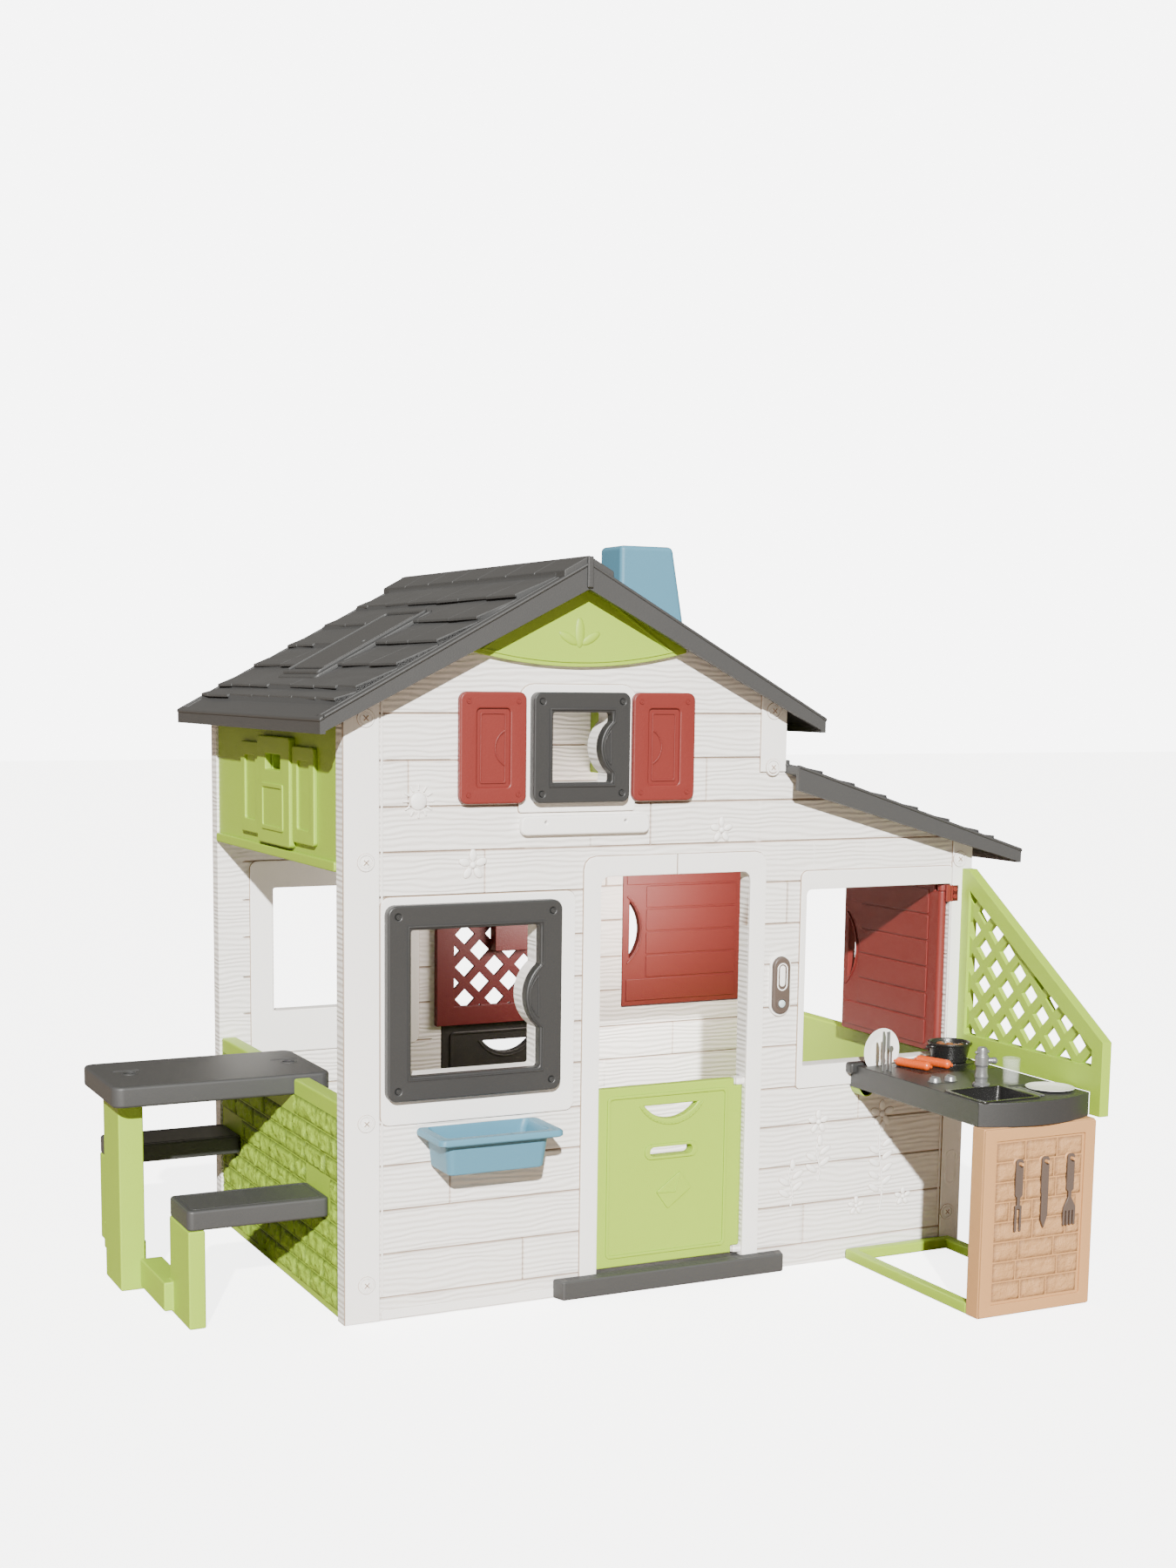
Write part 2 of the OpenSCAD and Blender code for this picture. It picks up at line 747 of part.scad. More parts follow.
module capsule(w, h) {
    for (z = [-1, 1]) translate([0, z * (h - w) / 2]) circle(w / 2);
    translate([-w / 2, -(h - w) / 2]) square([w, h - w]);
}

module bell_body() color(bell_grey) in_house() difference() {
    slab_y(-bell_t, 0) translate([bell_x, bell_z]) capsule(bell_w, bell_h);
    slab_y(-bell_t + bell_skin, 1) translate([bell_x, bell_z]) capsule(bell_w - 8, bell_h - 8);
    rod_y(bell_x, -bell_t - 1, 0, button_z, button_r + 0.3);
}

module bell_button() color(blue) in_house() {
    rod_y(bell_x, -bell_t - button_travel - 1, -bell_t + bell_skin + 1, button_z, button_r);
    rod_y(bell_x, -bell_t + bell_skin + 0.1, -bell_t + bell_skin + 2, button_z, flange_r);
}

module bell_sound_unit() color(charcoal) in_house() {
    slab_y(-bell_t + bell_skin + 0.3, -0.3)
        translate([bell_x - bell_w / 2 + 8, button_z + flange_r + 4]) square([bell_w - 16, bell_h - bell_w - 12]);
    slab_y(-2.5, -0.3) translate([bell_x, button_z]) circle(5);
}

// Two sets of crossed slats inside the outline given as the child
module crossed_slats(w, h) {
    reach = w + h;
    intersection() {
        children();
        for (a = [-45, 45]) rotate(a) for (i = [-ceil(reach / slat_pitch):ceil(reach / slat_pitch)])
            translate([-reach, i * slat_pitch - slat_w / 2]) square([2 * reach, slat_w]);
    }
}

module rear_trellis() color(dark_red) in_house() at_rear() {
    h = trellis_top - trellis_z;
    slab_y(-trellis_t, -0.3) difference() {
        translate([trellis_x, trellis_z]) square([trellis_w, h]);
        translate([trellis_x + trellis_border, trellis_z + trellis_border])
            square([trellis_w - 2 * trellis_border, h - 2 * trellis_border]);
    }
    slab_y(-trellis_t * 0.75, -trellis_t * 0.25) translate([trellis_x + trellis_w / 2, trellis_z + h / 2])
        crossed_slats(trellis_w, h) square([trellis_w - trellis_border, h - trellis_border], center = true);
}

box_l = 117;
box_w = 36;
box_h = 84;

module trellis_box() color(dark_red) in_house() at_rear() difference() {
    x = door_x + door_w / 2 - box_l / 2;
    z = trellis_z + 200;
    back = -trellis_t * 0.75 - seat_gap;
    block([x, x + box_l], [back - box_w, back], [z, z + box_h]);
    block([x + 4, x + box_l - 4], [back - box_w + 4, back - 4], [z + 4, z + box_h + 1]);
}

// ---------------------------------------------------------------- picnic table

plug_x = [table_x0 + 76, table_x1 - 54];

module table_top() color(grey) in_house() translate([0, 0, table_z - table_t]) difference() {
    linear_extrude(table_t) rounded(table_x0, table_y0, table_l, table_w, 26);
    for (x = plug_x) translate([x, table_y, table_t - 10]) cylinder(11, r = plug_r + run);
}

plug_r = 14;

module table_plugs() color(grey) in_house() {
    for (x = plug_x) translate([x, table_y, table_z - 10]) cylinder(8, r = plug_r);
}

module table_leg() color(green) in_house() {
    block([leg_x, leg_x + leg_l], [table_y - leg_w / 2, table_y + leg_w / 2], [0, table_z - table_t]);
}

// One piece: a bench's leg and the foot beam that joins it to the table's leg
module bench_support(i) color(green) in_house() {
    side = 2 * i - 1;
    far = bench_mid(i) + side * bench_w / 2;
    near = bench_mid(i) - side * bench_w / 2;
    leg_face = table_y + side * leg_w / 2;
    block([support_x, support_x + support_l], [min(near, far), max(near, far)], [0, bench_z - bench_t]);
    block([support_x - 22, support_x + support_l - 8], [min(near, leg_face), max(near, leg_face)],
        [beam_z0, beam_z0 + beam_h]);
    block([support_x - 22, support_x + 1], [min(near, near + side * 30), max(near, near + side * 30)],
        [beam_z0, beam_z0 + beam_h]);
}

module front_bench_support() bench_support(0);
module rear_bench_support() bench_support(1);

module bench(i) color(grey) in_house() {
    y = bench_mid(i);
    translate([0, 0, bench_z - bench_t]) linear_extrude(bench_t)
        rounded(support_x, y - bench_w / 2, bench_l, bench_w, 14);
    block([panel_x - 1, panel_x + tongue_l], [y - tongue_w / 2, y + tongue_w / 2],
        [bench_z - bench_t / 2 - tongue_t / 2, bench_z - bench_t / 2 + tongue_t / 2]);
}

module front_bench() bench(0);
module rear_bench() bench(1);

// ---------------------------------------------------------------- kitchen

bow_r = arc_r(top_l, top_bow);
knob_r = 15;
knob_h = 11;
knob_stem = 4;
tap_stem = 8;
rack_slot = 6;
rack_half = sqrt(pow(plate_r, 2) - pow(plate_r - rack_sink, 2)) + 2;

module worktop() color(grey) in_house() translate([0, 0, top_z - top_t]) difference() {
    linear_extrude(top_t) intersection() {
        translate([top_x, -top_d - top_bow]) square([top_l, top_d + top_bow]);
        translate([top_x + top_l / 2, -top_d - top_bow + bow_r]) circle(bow_r, $fn = 128);
    }
    block([sink_x, sink_x + sink_l], [sink_y, sink_y + sink_w], [top_t - sink_d, top_t + 1]);
    for (x = knob_x) translate([x, knob_y, top_t - 15]) cylinder(16, r = knob_stem + run);
    translate([tap_x, tap_y, top_t - 21]) cylinder(22, r = tap_stem + run);
    translate([rack_x, rack_y, top_t - rack_sink - 1]) rotate([0, 0, rack_turn])
        block([-rack_half, rack_half], [-rack_slot / 2 - seat_gap, rack_slot / 2 + seat_gap], [0, rack_sink + 2]);
}

bracket_l = 42;

module worktop_bracket() color(green) in_house() {
    z = top_z - top_t;
    slab_y(-40, 0) difference() {
        translate([top_x + 4 + bracket_l / 2, z]) circle(bracket_l / 2);
        translate([top_x + 4 + bracket_l / 2, z]) circle(bracket_l / 2 - 4);
        translate([top_x, z]) square([bracket_l + 10, bracket_l]);
    }
}

// Side trellis: a frame with a sloping top rail, filled with crossed slats
lattice_top_y = -30;
lattice_low = top_z - top_t + 3;
rail_z = top_z;
rail_h = 58;

lattice_front = -top_d - post_w;
lattice_drop = (lattice_z - lattice_front_z) / (lattice_top_y - lattice_front);

// Height of the sloping rail's upper edge at y
function rail_top(y) = lattice_front_z + (y - lattice_front) * lattice_drop;

module lattice_field(grow) {
    y0 = lattice_front + post_w - grow;
    y1 = -post_w + grow;
    cut = post_w * 1.3 - grow;
    polygon([[y1, rail_z + rail_h - grow], [y1, rail_top(y1) - cut], [y0, rail_top(y0) - cut],
        [y0, rail_z + rail_h - grow]]);
}

module lattice_panel() color(green) in_house() {
    slab_x(lattice_x, lattice_x + lattice_t) difference() {
        polygon([[0, rail_z], [0, lattice_z], [lattice_top_y, lattice_z], [lattice_front, lattice_front_z],
            [lattice_front, lattice_low], [lattice_front + post_w, lattice_low],
            [lattice_front + post_w, rail_z]]);
        lattice_field(0);
    }
    slab_x(lattice_x + lattice_t / 4, lattice_x + lattice_t * 3 / 4)
        translate([lattice_front / 2, (rail_z + lattice_z) / 2])
            crossed_slats(-lattice_front, lattice_z - rail_z)
                translate([-lattice_front / 2, -(rail_z + lattice_z) / 2]) lattice_field(8);
}

module kitchen_leg_panel() color(beige) in_house() {
    block([top_x, top_x + top_l], [leg_y0, leg_y0 + leg_t], [0, top_z - top_t]);
    for (x = peg_x) rod_y(x, leg_y0 - hook_len, leg_y0 + 1, peg_z, peg_r);
}

module kitchen_floor_frame() color(green) in_house() {
    y1 = -4;
    y0 = leg_y0 + leg_t;
    for (x = [top_x, top_x + top_l - tube_w]) block([x, x + tube_w], [y0, y1], [0, tube_w]);
    block([top_x + tube_w - 1, top_x + top_l - tube_w + 1], [y1 - tube_w, y1], [0, tube_w]);
    for (x = [top_x + tube_w / 2, top_x + top_l - tube_w / 2]) rod_y(x, y1 - 1, 0, tube_w / 2, 8);
}

module tap() color(steel) in_house() translate([tap_x, tap_y, top_z + seat_gap]) {
    translate([0, 0, -20]) cylinder(20.5, r = tap_stem);
    cylinder(8, r = 20);
    cylinder(92, r = 16);
    translate([0, 0, 60]) rotate([90, 0, 60]) cylinder(36, r = 7);
}

module hob_knob(i) color(steel) in_house() translate([knob_x[i], knob_y, top_z + seat_gap]) {
    translate([0, 0, -14]) cylinder(14.5, r = knob_stem);
    cylinder(knob_h, r = knob_r);
}

module hob_knob_left() hob_knob(0);
module hob_knob_right() hob_knob(1);

pot_wall = 3;

module cooking_pot() color(charcoal) in_house() translate([pot_x, pot_y, top_z + seat_gap]) difference() {
    union() {
        rotate_extrude() polygon([[0, 0], [pot_r - 10, 0], [pot_r - 2, pot_h - 6], [pot_r, pot_h - 6],
            [pot_r, pot_h], [0, pot_h]]);
        block([-pot_r - 9, pot_r + 9], [-14, 14], [pot_h - 10, pot_h - 5]);
    }
    rotate_extrude() polygon([[0, pot_wall], [pot_r - 10 - pot_wall, pot_wall],
        [pot_r - pot_wall - 1, pot_h + 1], [0, pot_h + 1]]);
}

sausage_r = 11;
sausage_l = 100;

module sausages() color(orange) in_house() {
    for (x = [top_x + 92, top_x + 152]) translate([x, -75, top_z + sausage_r + seat_gap]) rotate([90, 0, 18]) {
        cylinder(sausage_l - 2 * sausage_r, r = sausage_r);
        sphere(sausage_r);
        translate([0, 0, sausage_l - 2 * sausage_r]) sphere(sausage_r);
    }
}

module plate() rotate_extrude() polygon([[0, 0], [plate_r * 0.62, 0], [plate_r, 4], [plate_r, 6],
    [plate_r * 0.6, 2.5], [0, 2.5]]);

module plates() color(white) in_house() {
    translate([plate_x, plate_y, top_z + seat_gap]) plate();
    translate([rack_x, rack_y, top_z + plate_r - rack_sink]) rotate([90, 0, rack_turn])
        translate([0, 0, -3]) plate();
}

// Flat pieces of cutlery, handle down from the origin
module fork_2d(tines, l, head) {
    pitch = 4.4;
    w = (tines - 1) * pitch + 2.4;
    translate([-4, 0]) square([8, l * 0.55]);
    translate([-w / 2, l * 0.55 - 3]) square([w, 6]);
    for (i = [0:tines - 1]) translate([-w / 2 + i * pitch, l * 0.55]) square([2.4, head]);
}

module knife_2d(l) {
    translate([-4, 0]) square([8, l * 0.5]);
    polygon([[-5, l * 0.48], [6, l * 0.48], [6, l * 0.85], [0, l], [-5, l]]);
}

module spoon_2d(l) {
    translate([-3, 0]) square([6, l - 10]);
    translate([0, l - 8]) circle(8);
}

stand_turn = 20;
lay_turn = -3;
tool_thick = 3;

module standing_tool(x, y) translate([top_x + x, y, top_z + seat_gap]) rotate([90, 0, stand_turn])
    linear_extrude(tool_thick) children();
module lying_tool(x, y) translate([plate_x - plate_r - x, plate_y + y, top_z + seat_gap])
    rotate([0, 0, lay_turn]) linear_extrude(tool_thick) children();

module cutlery() color(steel) in_house() {
    standing_tool(16, -114) knife_2d(96);
    standing_tool(34, -106) fork_2d(3, 96, 40);
    standing_tool(30, -124) spoon_2d(62);
    lying_tool(10, -56) fork_2d(3, 96, 40);
    lying_tool(25, -61) knife_2d(96);
}

glass_r = 21;
glass_h = 60;

module drinking_glass() color([0.8, 0.85, 0.85, 0.5]) in_house() translate([glass_x, glass_y, top_z + seat_gap])
    rotate_extrude() polygon([[0, 0], [glass_r - 3, 0], [glass_r, glass_h], [glass_r - 2, glass_h],
        [glass_r - 5, 4], [0, 4]]);

// Tools that hang from the pegs, drawn down from the middle of their hole
tool_l = 165;
handle_l = 88;
hole_up = 11;

module hanging_tool(i) color(bell_grey) in_house() translate([peg_x[i], 0, peg_z]) slab_y(tool_y, tool_y + tool_t)
    difference() {
        union() {
            rounded(-10, hole_up - handle_l, 20, handle_l, 8);
            children();
        }
        circle(peg_r + run);
    }

module tool_neck() translate([-4, hole_up - handle_l - 20]) square([8, 24]);

module hanging_fork() hanging_tool(0) {
    tool_neck();
    translate([-9, hole_up - handle_l - 26]) square([18, 8]);
    for (x = [-9, 4]) translate([x, hole_up - tool_l]) square([5, tool_l - handle_l - 20]);
}

module hanging_knife() hanging_tool(1)
    polygon([[-8, hole_up - tool_l + 20], [0, hole_up - tool_l], [10, hole_up - tool_l + 30],
        [10, hole_up - handle_l + 4], [-8, hole_up - handle_l + 4]]);

module hanging_server() hanging_tool(2) {
    tool_neck();
    polygon([[-17, hole_up - handle_l - 44], [17, hole_up - handle_l - 44], [17, hole_up - handle_l - 36],
        [5, hole_up - handle_l - 14], [-5, hole_up - handle_l - 14], [-17, hole_up - handle_l - 36]]);
    for (x = [-17:9.5:17]) translate([x, hole_up - tool_l]) square([5.5, tool_l - handle_l - 40]);
}

front_wall_left();
front_wall_right();
rear_wall_left();
rear_wall_right();
front_gable_board();
rear_gable_board();
roof_left();
roof_right();
lean_to_roof();
chimney();
left_upper_panel();
left_brick_panel();
right_upper_panel();
right_brick_panel();
window_frame();
gable_window_frame();
gable_shutter_left();
gable_shutter_right();
front_doorstep();
rear_doorstep();
door_hinge_pins();
shutter_hinge_pins();
shutter_hinge_clips();
front_door();
rear_door();
front_shutter();
rear_shutter();
planter();
bell_body();
bell_sound_unit();
bell_button();
front_wall_screws();
rear_wall_screws();
frame_screws();
rear_trellis();
trellis_box();
table_top();
table_plugs();
table_leg();
front_bench_support();
rear_bench_support();
front_bench();
rear_bench();
worktop();
worktop_bracket();
lattice_panel();
kitchen_leg_panel();
kitchen_floor_frame();
tap();
hob_knob_left();
hob_knob_right();
cooking_pot();
sausages();
plates();
cutlery();
drinking_glass();
hanging_fork();
hanging_knife();
hanging_server();
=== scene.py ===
# %% [markdown]
# # A plastic playhouse
# This lesson dresses the solid model of a garden playhouse. The solids give every size, so each new piece is
# drawn in the same millimetres as the house and then put into the model's own frame.

# %% The fixed frame
import math
import random
import bmesh
import bpy
from mathutils import Matrix, Vector, noise


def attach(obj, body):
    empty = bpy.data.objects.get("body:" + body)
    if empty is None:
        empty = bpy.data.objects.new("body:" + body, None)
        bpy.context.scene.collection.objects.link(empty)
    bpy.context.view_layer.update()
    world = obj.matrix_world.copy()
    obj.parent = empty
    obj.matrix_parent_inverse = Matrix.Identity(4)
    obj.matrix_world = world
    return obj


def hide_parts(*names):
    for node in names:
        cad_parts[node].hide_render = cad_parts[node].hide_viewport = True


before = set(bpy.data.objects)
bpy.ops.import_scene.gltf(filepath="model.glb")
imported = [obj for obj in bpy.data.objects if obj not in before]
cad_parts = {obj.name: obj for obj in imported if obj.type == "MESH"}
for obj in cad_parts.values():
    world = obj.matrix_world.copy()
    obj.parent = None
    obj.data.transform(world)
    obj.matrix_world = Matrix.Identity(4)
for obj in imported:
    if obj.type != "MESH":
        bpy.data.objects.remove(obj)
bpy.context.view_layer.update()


def show(thing):
    bpy.context.scene.collection.objects.link(thing)


# %% [markdown]
# The camera stands to the left of the house, at a grown-up's chest height, and looks a little down. Its turn
# is given as a heading, a dip and a small roll, so the matrix is built from its three directions.

# %% Camera
HEADING, DIP, ROLL = math.radians(25.425), math.radians(7.648), math.radians(-0.543)
ahead = Vector((math.sin(HEADING) * math.cos(DIP), math.cos(HEADING) * math.cos(DIP), -math.sin(DIP)))
level = Vector((math.cos(HEADING), -math.sin(HEADING), 0))
down = ahead.cross(level)
across = level * math.cos(ROLL) + down * math.sin(ROLL)
below = down * math.cos(ROLL) - level * math.sin(ROLL)

lens = bpy.data.cameras.new("camera")
lens.sensor_width = 36
lens.lens = 46.13
lens.shift_x = 0.0336
lens.shift_y = 0.1064
camera = bpy.data.objects.new("camera", lens)
turn = Matrix((across, -below, -ahead)).transposed()
camera.matrix_world = Matrix.Translation((-2.2575, -4.0002, 1.3986)) @ turn.to_4x4()
show(camera)
bpy.context.scene.camera = camera
print("camera looks along", [round(v, 3) for v in ahead])

# %% [markdown]
# A low sun from the front left throws the crisp shadows, and a bright sky fills them. A mixed world keeps
# the backdrop white while the fill is a little warm, as light that comes back from a wooden floor. A weak lamp
# inside the house stands for the daylight that real thin plastic walls let through.

# %% Light and floor
SUNBEAM = Vector((0.47, 1, -0.55))


def lamp(name, kind, energy, colour, beam):
    """A lamp that shines along the beam."""
    light = bpy.data.lights.new(name, kind)
    light.energy, light.color = energy, colour
    made = bpy.data.objects.new(name, light)
    made.rotation_euler = Vector(beam).to_track_quat("-Z", "Y").to_euler()
    show(made)
    return made


sun = lamp("sun", "SUN", 11.0, (1.0, 0.985, 0.95), SUNBEAM)
sun.data.angle = math.radians(1.2)
glow = lamp("indoor_glow", "AREA", 12, (1.0, 0.87, 0.80), (0, 1, -0.15))
glow.data.shape = "RECTANGLE"
glow.data.size, glow.data.size_y = 0.6, 0.2
glow.location = (0.38, 0.45, 0.84)
glow.visible_camera = False

world = bpy.data.worlds.new("studio")
bpy.context.scene.world = world
world.use_nodes = True
sky = world.node_tree
backdrop = sky.nodes["Background"]
backdrop.inputs["Color"].default_value = (1, 1, 1, 1)
backdrop.inputs["Strength"].default_value = 7.0
fill = sky.nodes.new("ShaderNodeBackground")
fill.inputs["Color"].default_value = (1.0, 0.88, 0.74, 1)
fill.inputs["Strength"].default_value = 0.3
seen = sky.nodes.new("ShaderNodeLightPath")
either = sky.nodes.new("ShaderNodeMixShader")
sky.links.new(seen.outputs["Is Camera Ray"], either.inputs[0])
sky.links.new(fill.outputs[0], either.inputs[1])
sky.links.new(backdrop.outputs[0], either.inputs[2])
sky.links.new(either.outputs[0], sky.nodes["World Output"].inputs["Surface"])

floor_bm = bmesh.new()
bmesh.ops.create_grid(floor_bm, x_segments=1, y_segments=1, size=30)
bmesh.ops.translate(floor_bm, verts=floor_bm.verts, vec=(0, 0, -0.001))
floor_mesh = bpy.data.meshes.new("floor")
floor_bm.to_mesh(floor_mesh)
floor_bm.free()
floor = bpy.data.objects.new("floor", floor_mesh)
show(floor)
print("sunbeams run along", [round(v, 2) for v in SUNBEAM.normalized()])

# %% [markdown]
# Finishes are written as sums. A Flow is a value on its way through a material, and plus and times add the
# maths node that does the sum. A Finish makes the nodes: settings first, then values or links.

# %% Writing finishes as sums
class Flow:
    def __init__(self, finish, socket):
        self.finish, self.socket = finish, socket

    def sum(self, operation, other):
        return self.finish.node("ShaderNodeMath", {"operation": operation}, (self, other))

    def __add__(self, other): return self.sum("ADD", other)
    def __mul__(self, other): return self.sum("MULTIPLY", other)
    __radd__, __rmul__ = __add__, __mul__


class Finish:
    def __init__(self, name, slot):
        self.material = bpy.data.materials.new(name)
        self.material.use_nodes = True
        self.tree = self.material.node_tree
        self.shader = self.tree.nodes["Principled BSDF"]
        self.slot = slot

    def node(self, kind, settings=None, values=(), output=0):
        made = self.tree.nodes.new(kind)
        for key, value in (settings or {}).items():
            setattr(made, key, value)
        pairs = values.items() if isinstance(values, dict) else enumerate(values)
        for key, value in pairs:
            self.feed(made.inputs[key], value)
        return Flow(self, made.outputs[output])

    def feed(self, socket, value):
        if isinstance(value, Flow):
            self.tree.links.new(value.socket, socket)
        else:
            socket.default_value = value

    def set(self, **values):
        for key, value in values.items():
            self.feed(self.shader.inputs[key.replace("_", " ")], value)
        return self

    def place(self, scale=(1, 1, 1)):
        spot = self.node("ShaderNodeTexCoord", output="Object")
        return self.node("ShaderNodeMapping", {}, {"Vector": spot, "Scale": scale})

    def noise(self, spot, scale, detail=2.0, rough=0.5):
        values = {"Vector": spot, "Scale": scale, "Detail": detail, "Roughness": rough}
        return self.node("ShaderNodeTexNoise", {}, values)

    def mix(self, factor, first, second):
        values = {"Factor": factor, 6: first, 7: second}
        return self.node("ShaderNodeMix", {"data_type": "RGBA"}, values, output=2)

    def bump(self, height):
        """Height is in metres."""
        return self.node("ShaderNodeBump", {}, {"Height": height, "Distance": 1.0, "Strength": 1.0})


print("finishes can be added, multiplied and mixed")

# %% [markdown]
# Blow-moulded polyethylene is slightly uneven: broad soft clouds in its colour, a fine orange-peel skin that
# breaks up the gloss, and faint lines of wood grain that the mould gives it. One recipe makes every colour. Deep
# corners get painted shade: a piece can carry a value that marks them, and there the colour turns darker.

# %% Moulded plastic
def shade(colour, factor):
    return (*[max(0.0, min(1.0, c * factor)) for c in colour], 1)


def moulded(name, slot, colour, rough=0.5, clouds=0.05, peel=0.00035, grain=0.0, lines=(1.9, 1.0, 6.0), pebble=0.0,
            painted_shade=None):
    finish = Finish(name, slot)
    spot = finish.place()
    broad = finish.noise(spot, 5.0, 4.0)
    skin = finish.noise(spot, 420.0, 2.0)
    scuffs = finish.noise(finish.place((9, 9, 60)), 3.0, 5.0, 0.65)
    height = skin * peel
    tone = broad * 0.75 + scuffs * 0.25
    if grain:
        wave_values = {"Vector": finish.place(lines), "Scale": 4.2, "Distortion": 11.0, "Detail": 2.5,
                       "Detail Scale": 0.55, "Detail Roughness": 0.55}
        wave = finish.node("ShaderNodeTexWave", {"bands_direction": "Z"}, wave_values)
        fibre = finish.noise(finish.place((2.2, 2.2, 130)), 4.0, 4.0, 0.6)
        height = height + (wave * 1.1 + fibre * 0.25) * grain
        tone = tone * 0.6 + wave * 0.3 + fibre * 0.1
    if pebble:
        crumple = finish.noise(spot, 46.0, 5.0, 0.62)
        height = height + crumple * pebble
        tone = tone * 0.6 + crumple * 0.4
    base = finish.mix(tone, shade(colour, 1 - clouds), shade(colour, 1 + clouds))
    # Painted shade: where the piece marks a point as deep in a corner, the colour is mixed towards the darker shade
    # colour.
    if painted_shade:
        in_corner = finish.node("ShaderNodeAttribute", {"attribute_name": "painted_corner_shade"}, output="Fac")
        base = finish.mix(in_corner * 0.9, base, (*painted_shade, 1))
    finish.set(
        Base_Color=base,
        Roughness=skin * 0.12 + (rough - 0.06) + broad * 0.06,
        Normal=finish.bump(height),
    )
    return finish


# The last colour given to a finish is its painted shade for deep corners; this tan is the one for the white walls
# and surrounds.
PAINTED_SHADE_TAN = (0.30, 0.19, 0.12)
WHITE = moulded("wall_white", "wall_white", (0.80, 0.785, 0.765), 0.5, 0.035, grain=0.0013, painted_shade=PAINTED_SHADE_TAN)
SMOOTH = moulded("surround_white", "wall_white", (0.86, 0.855, 0.845), 0.45, 0.015, painted_shade=PAINTED_SHADE_TAN)
# The tan of the beads that stand for painted shade at the foot of the raised boards.
SHADE_LINE = moulded("painted_shade_bead", "wall_white", (0.30, 0.205, 0.14), 0.6, 0.12)
GREEN = moulded("panel_green", "panel_green", (0.295, 0.455, 0.030), 0.48, 0.04, painted_shade=(0.10, 0.17, 0.01))
STONE = moulded("stone_green", "panel_green", (0.27, 0.42, 0.028), 0.6, 0.12, pebble=0.007, painted_shade=(0.06, 0.10, 0.006))
GREY = moulded("roof_grey", "roof_grey", (0.042, 0.043, 0.044), 0.5, 0.07)
TILE = moulded("tile_grey", "roof_grey", (0.046, 0.047, 0.048), 0.55, 0.12, grain=0.0007, lines=(6.0, 1.0, 1.9))
FRAME = moulded("frame_grey", "roof_grey", (0.026, 0.0268, 0.0275), 0.42, 0.05)
COAL = moulded("charcoal", "trim_charcoal", (0.015, 0.0145, 0.014), 0.4, 0.08)
RED = moulded("shutter_red", "shutter_red", (0.155, 0.0185, 0.0145), 0.46, 0.05, painted_shade=(0.05, 0.005, 0.004))
WINE = moulded("trellis_red", "trellis_red", (0.10, 0.004, 0.005), 0.42, 0.06)
BLUE = moulded("accent_blue", "accent_blue", (0.070, 0.205, 0.295), 0.45, 0.04)
BEIGE = moulded("kitchen_beige", "kitchen_beige", (0.46, 0.24, 0.10), 0.5, 0.04)
SAND = moulded("stone_beige", "kitchen_beige", (0.44, 0.235, 0.10), 0.6, 0.1, pebble=0.008, painted_shade=(0.20, 0.10, 0.04))
TAUPE = moulded("bell_grey", "bell_grey", (0.085, 0.062, 0.052), 0.42, 0.06)
SILVER = moulded("silver_plastic", "silver_plastic", (0.20, 0.205, 0.21), 0.3, 0.06)
ORANGE = moulded("food_orange", "food_orange", (0.55, 0.075, 0.008), 0.25, 0.08)
PLATE = moulded("plate_white", "plate_white", (0.84, 0.84, 0.82), 0.22, 0.02)
SOOT = moulded("pot_black", "trim_charcoal", (0.010, 0.010, 0.010), 0.25, 0.1)
PEARL = moulded("button_blue", "accent_blue", (0.50, 0.62, 0.66), 0.35, 0.03)
SILVER.set(Metallic=0.55)
print(len(bpy.data.materials), "finishes")

# %% [markdown]
# The floor is a plain pale sheet. It is bright where the camera sees it, so that it meets the backdrop without
# a line, and sends only a warm, weaker light up. The toy glass is thin clear plastic, mostly see-through.

# %% Floor and clear plastic
FLOOR = Finish("floor_pale", None)
speck = FLOOR.noise(FLOOR.place(), 2.0, 2.0)
pale = FLOOR.mix(speck, (0.86, 0.86, 0.86, 1), (0.89, 0.89, 0.89, 1))
viewed = FLOOR.node("ShaderNodeLightPath", output="Is Camera Ray")
FLOOR.set(Base_Color=FLOOR.mix(viewed, (0.36, 0.27, 0.19, 1), pale), Roughness=0.8, Emission_Strength=4.5,
          Emission_Color=FLOOR.mix(viewed, (0, 0, 0, 1), (1, 1, 1, 1)))
floor.data.materials.append(FLOOR.material)

CLEAR = Finish("clear_plastic", "clear_plastic")
flow_lines = CLEAR.noise(CLEAR.place((1, 1, 8)), 30.0, 2.0)
CLEAR.set(Base_Color=CLEAR.mix(flow_lines, (0.82, 0.86, 0.86, 1), (0.92, 0.95, 0.95, 1)), Roughness=0.06,
          Alpha=flow_lines * 0.06 + 0.05)
CLEAR.material.surface_render_method = "BLENDED"
print("clear plastic and floor are ready")

# %% [markdown]
# Pieces are drawn in house millimetres: x runs from the left end post, y from the front face of the front
# wall, z from the ground. One function moves a finished shape into the model's frame, smooths it and seats it.

# %% Handing over a piece
MM = 0.001
SEAM = 809
HOUSE_D, WALL_T = 966, 40


def shift(x, y, z):
    return Matrix.Translation((x, y, z))


def stretch(x, y, z):
    return Matrix.Diagonal((x, y, z, 1))


def rotate(degrees, axis):
    return Matrix.Rotation(math.radians(degrees), 4, axis)


def axes(*rows):
    """A matrix from its three rows."""
    return Matrix((*rows, (0, 0, 0, 1)))


TO_FRAME = stretch(MM, MM, MM) @ shift(-SEAM, 0, 0)
TO_HOUSE = TO_FRAME.inverted()
REAR = shift(0, HOUSE_D, 0) @ stretch(1, -1, 1)


def weld(shape, dist=0.001):
    bmesh.ops.remove_doubles(shape, verts=shape.verts, dist=dist)


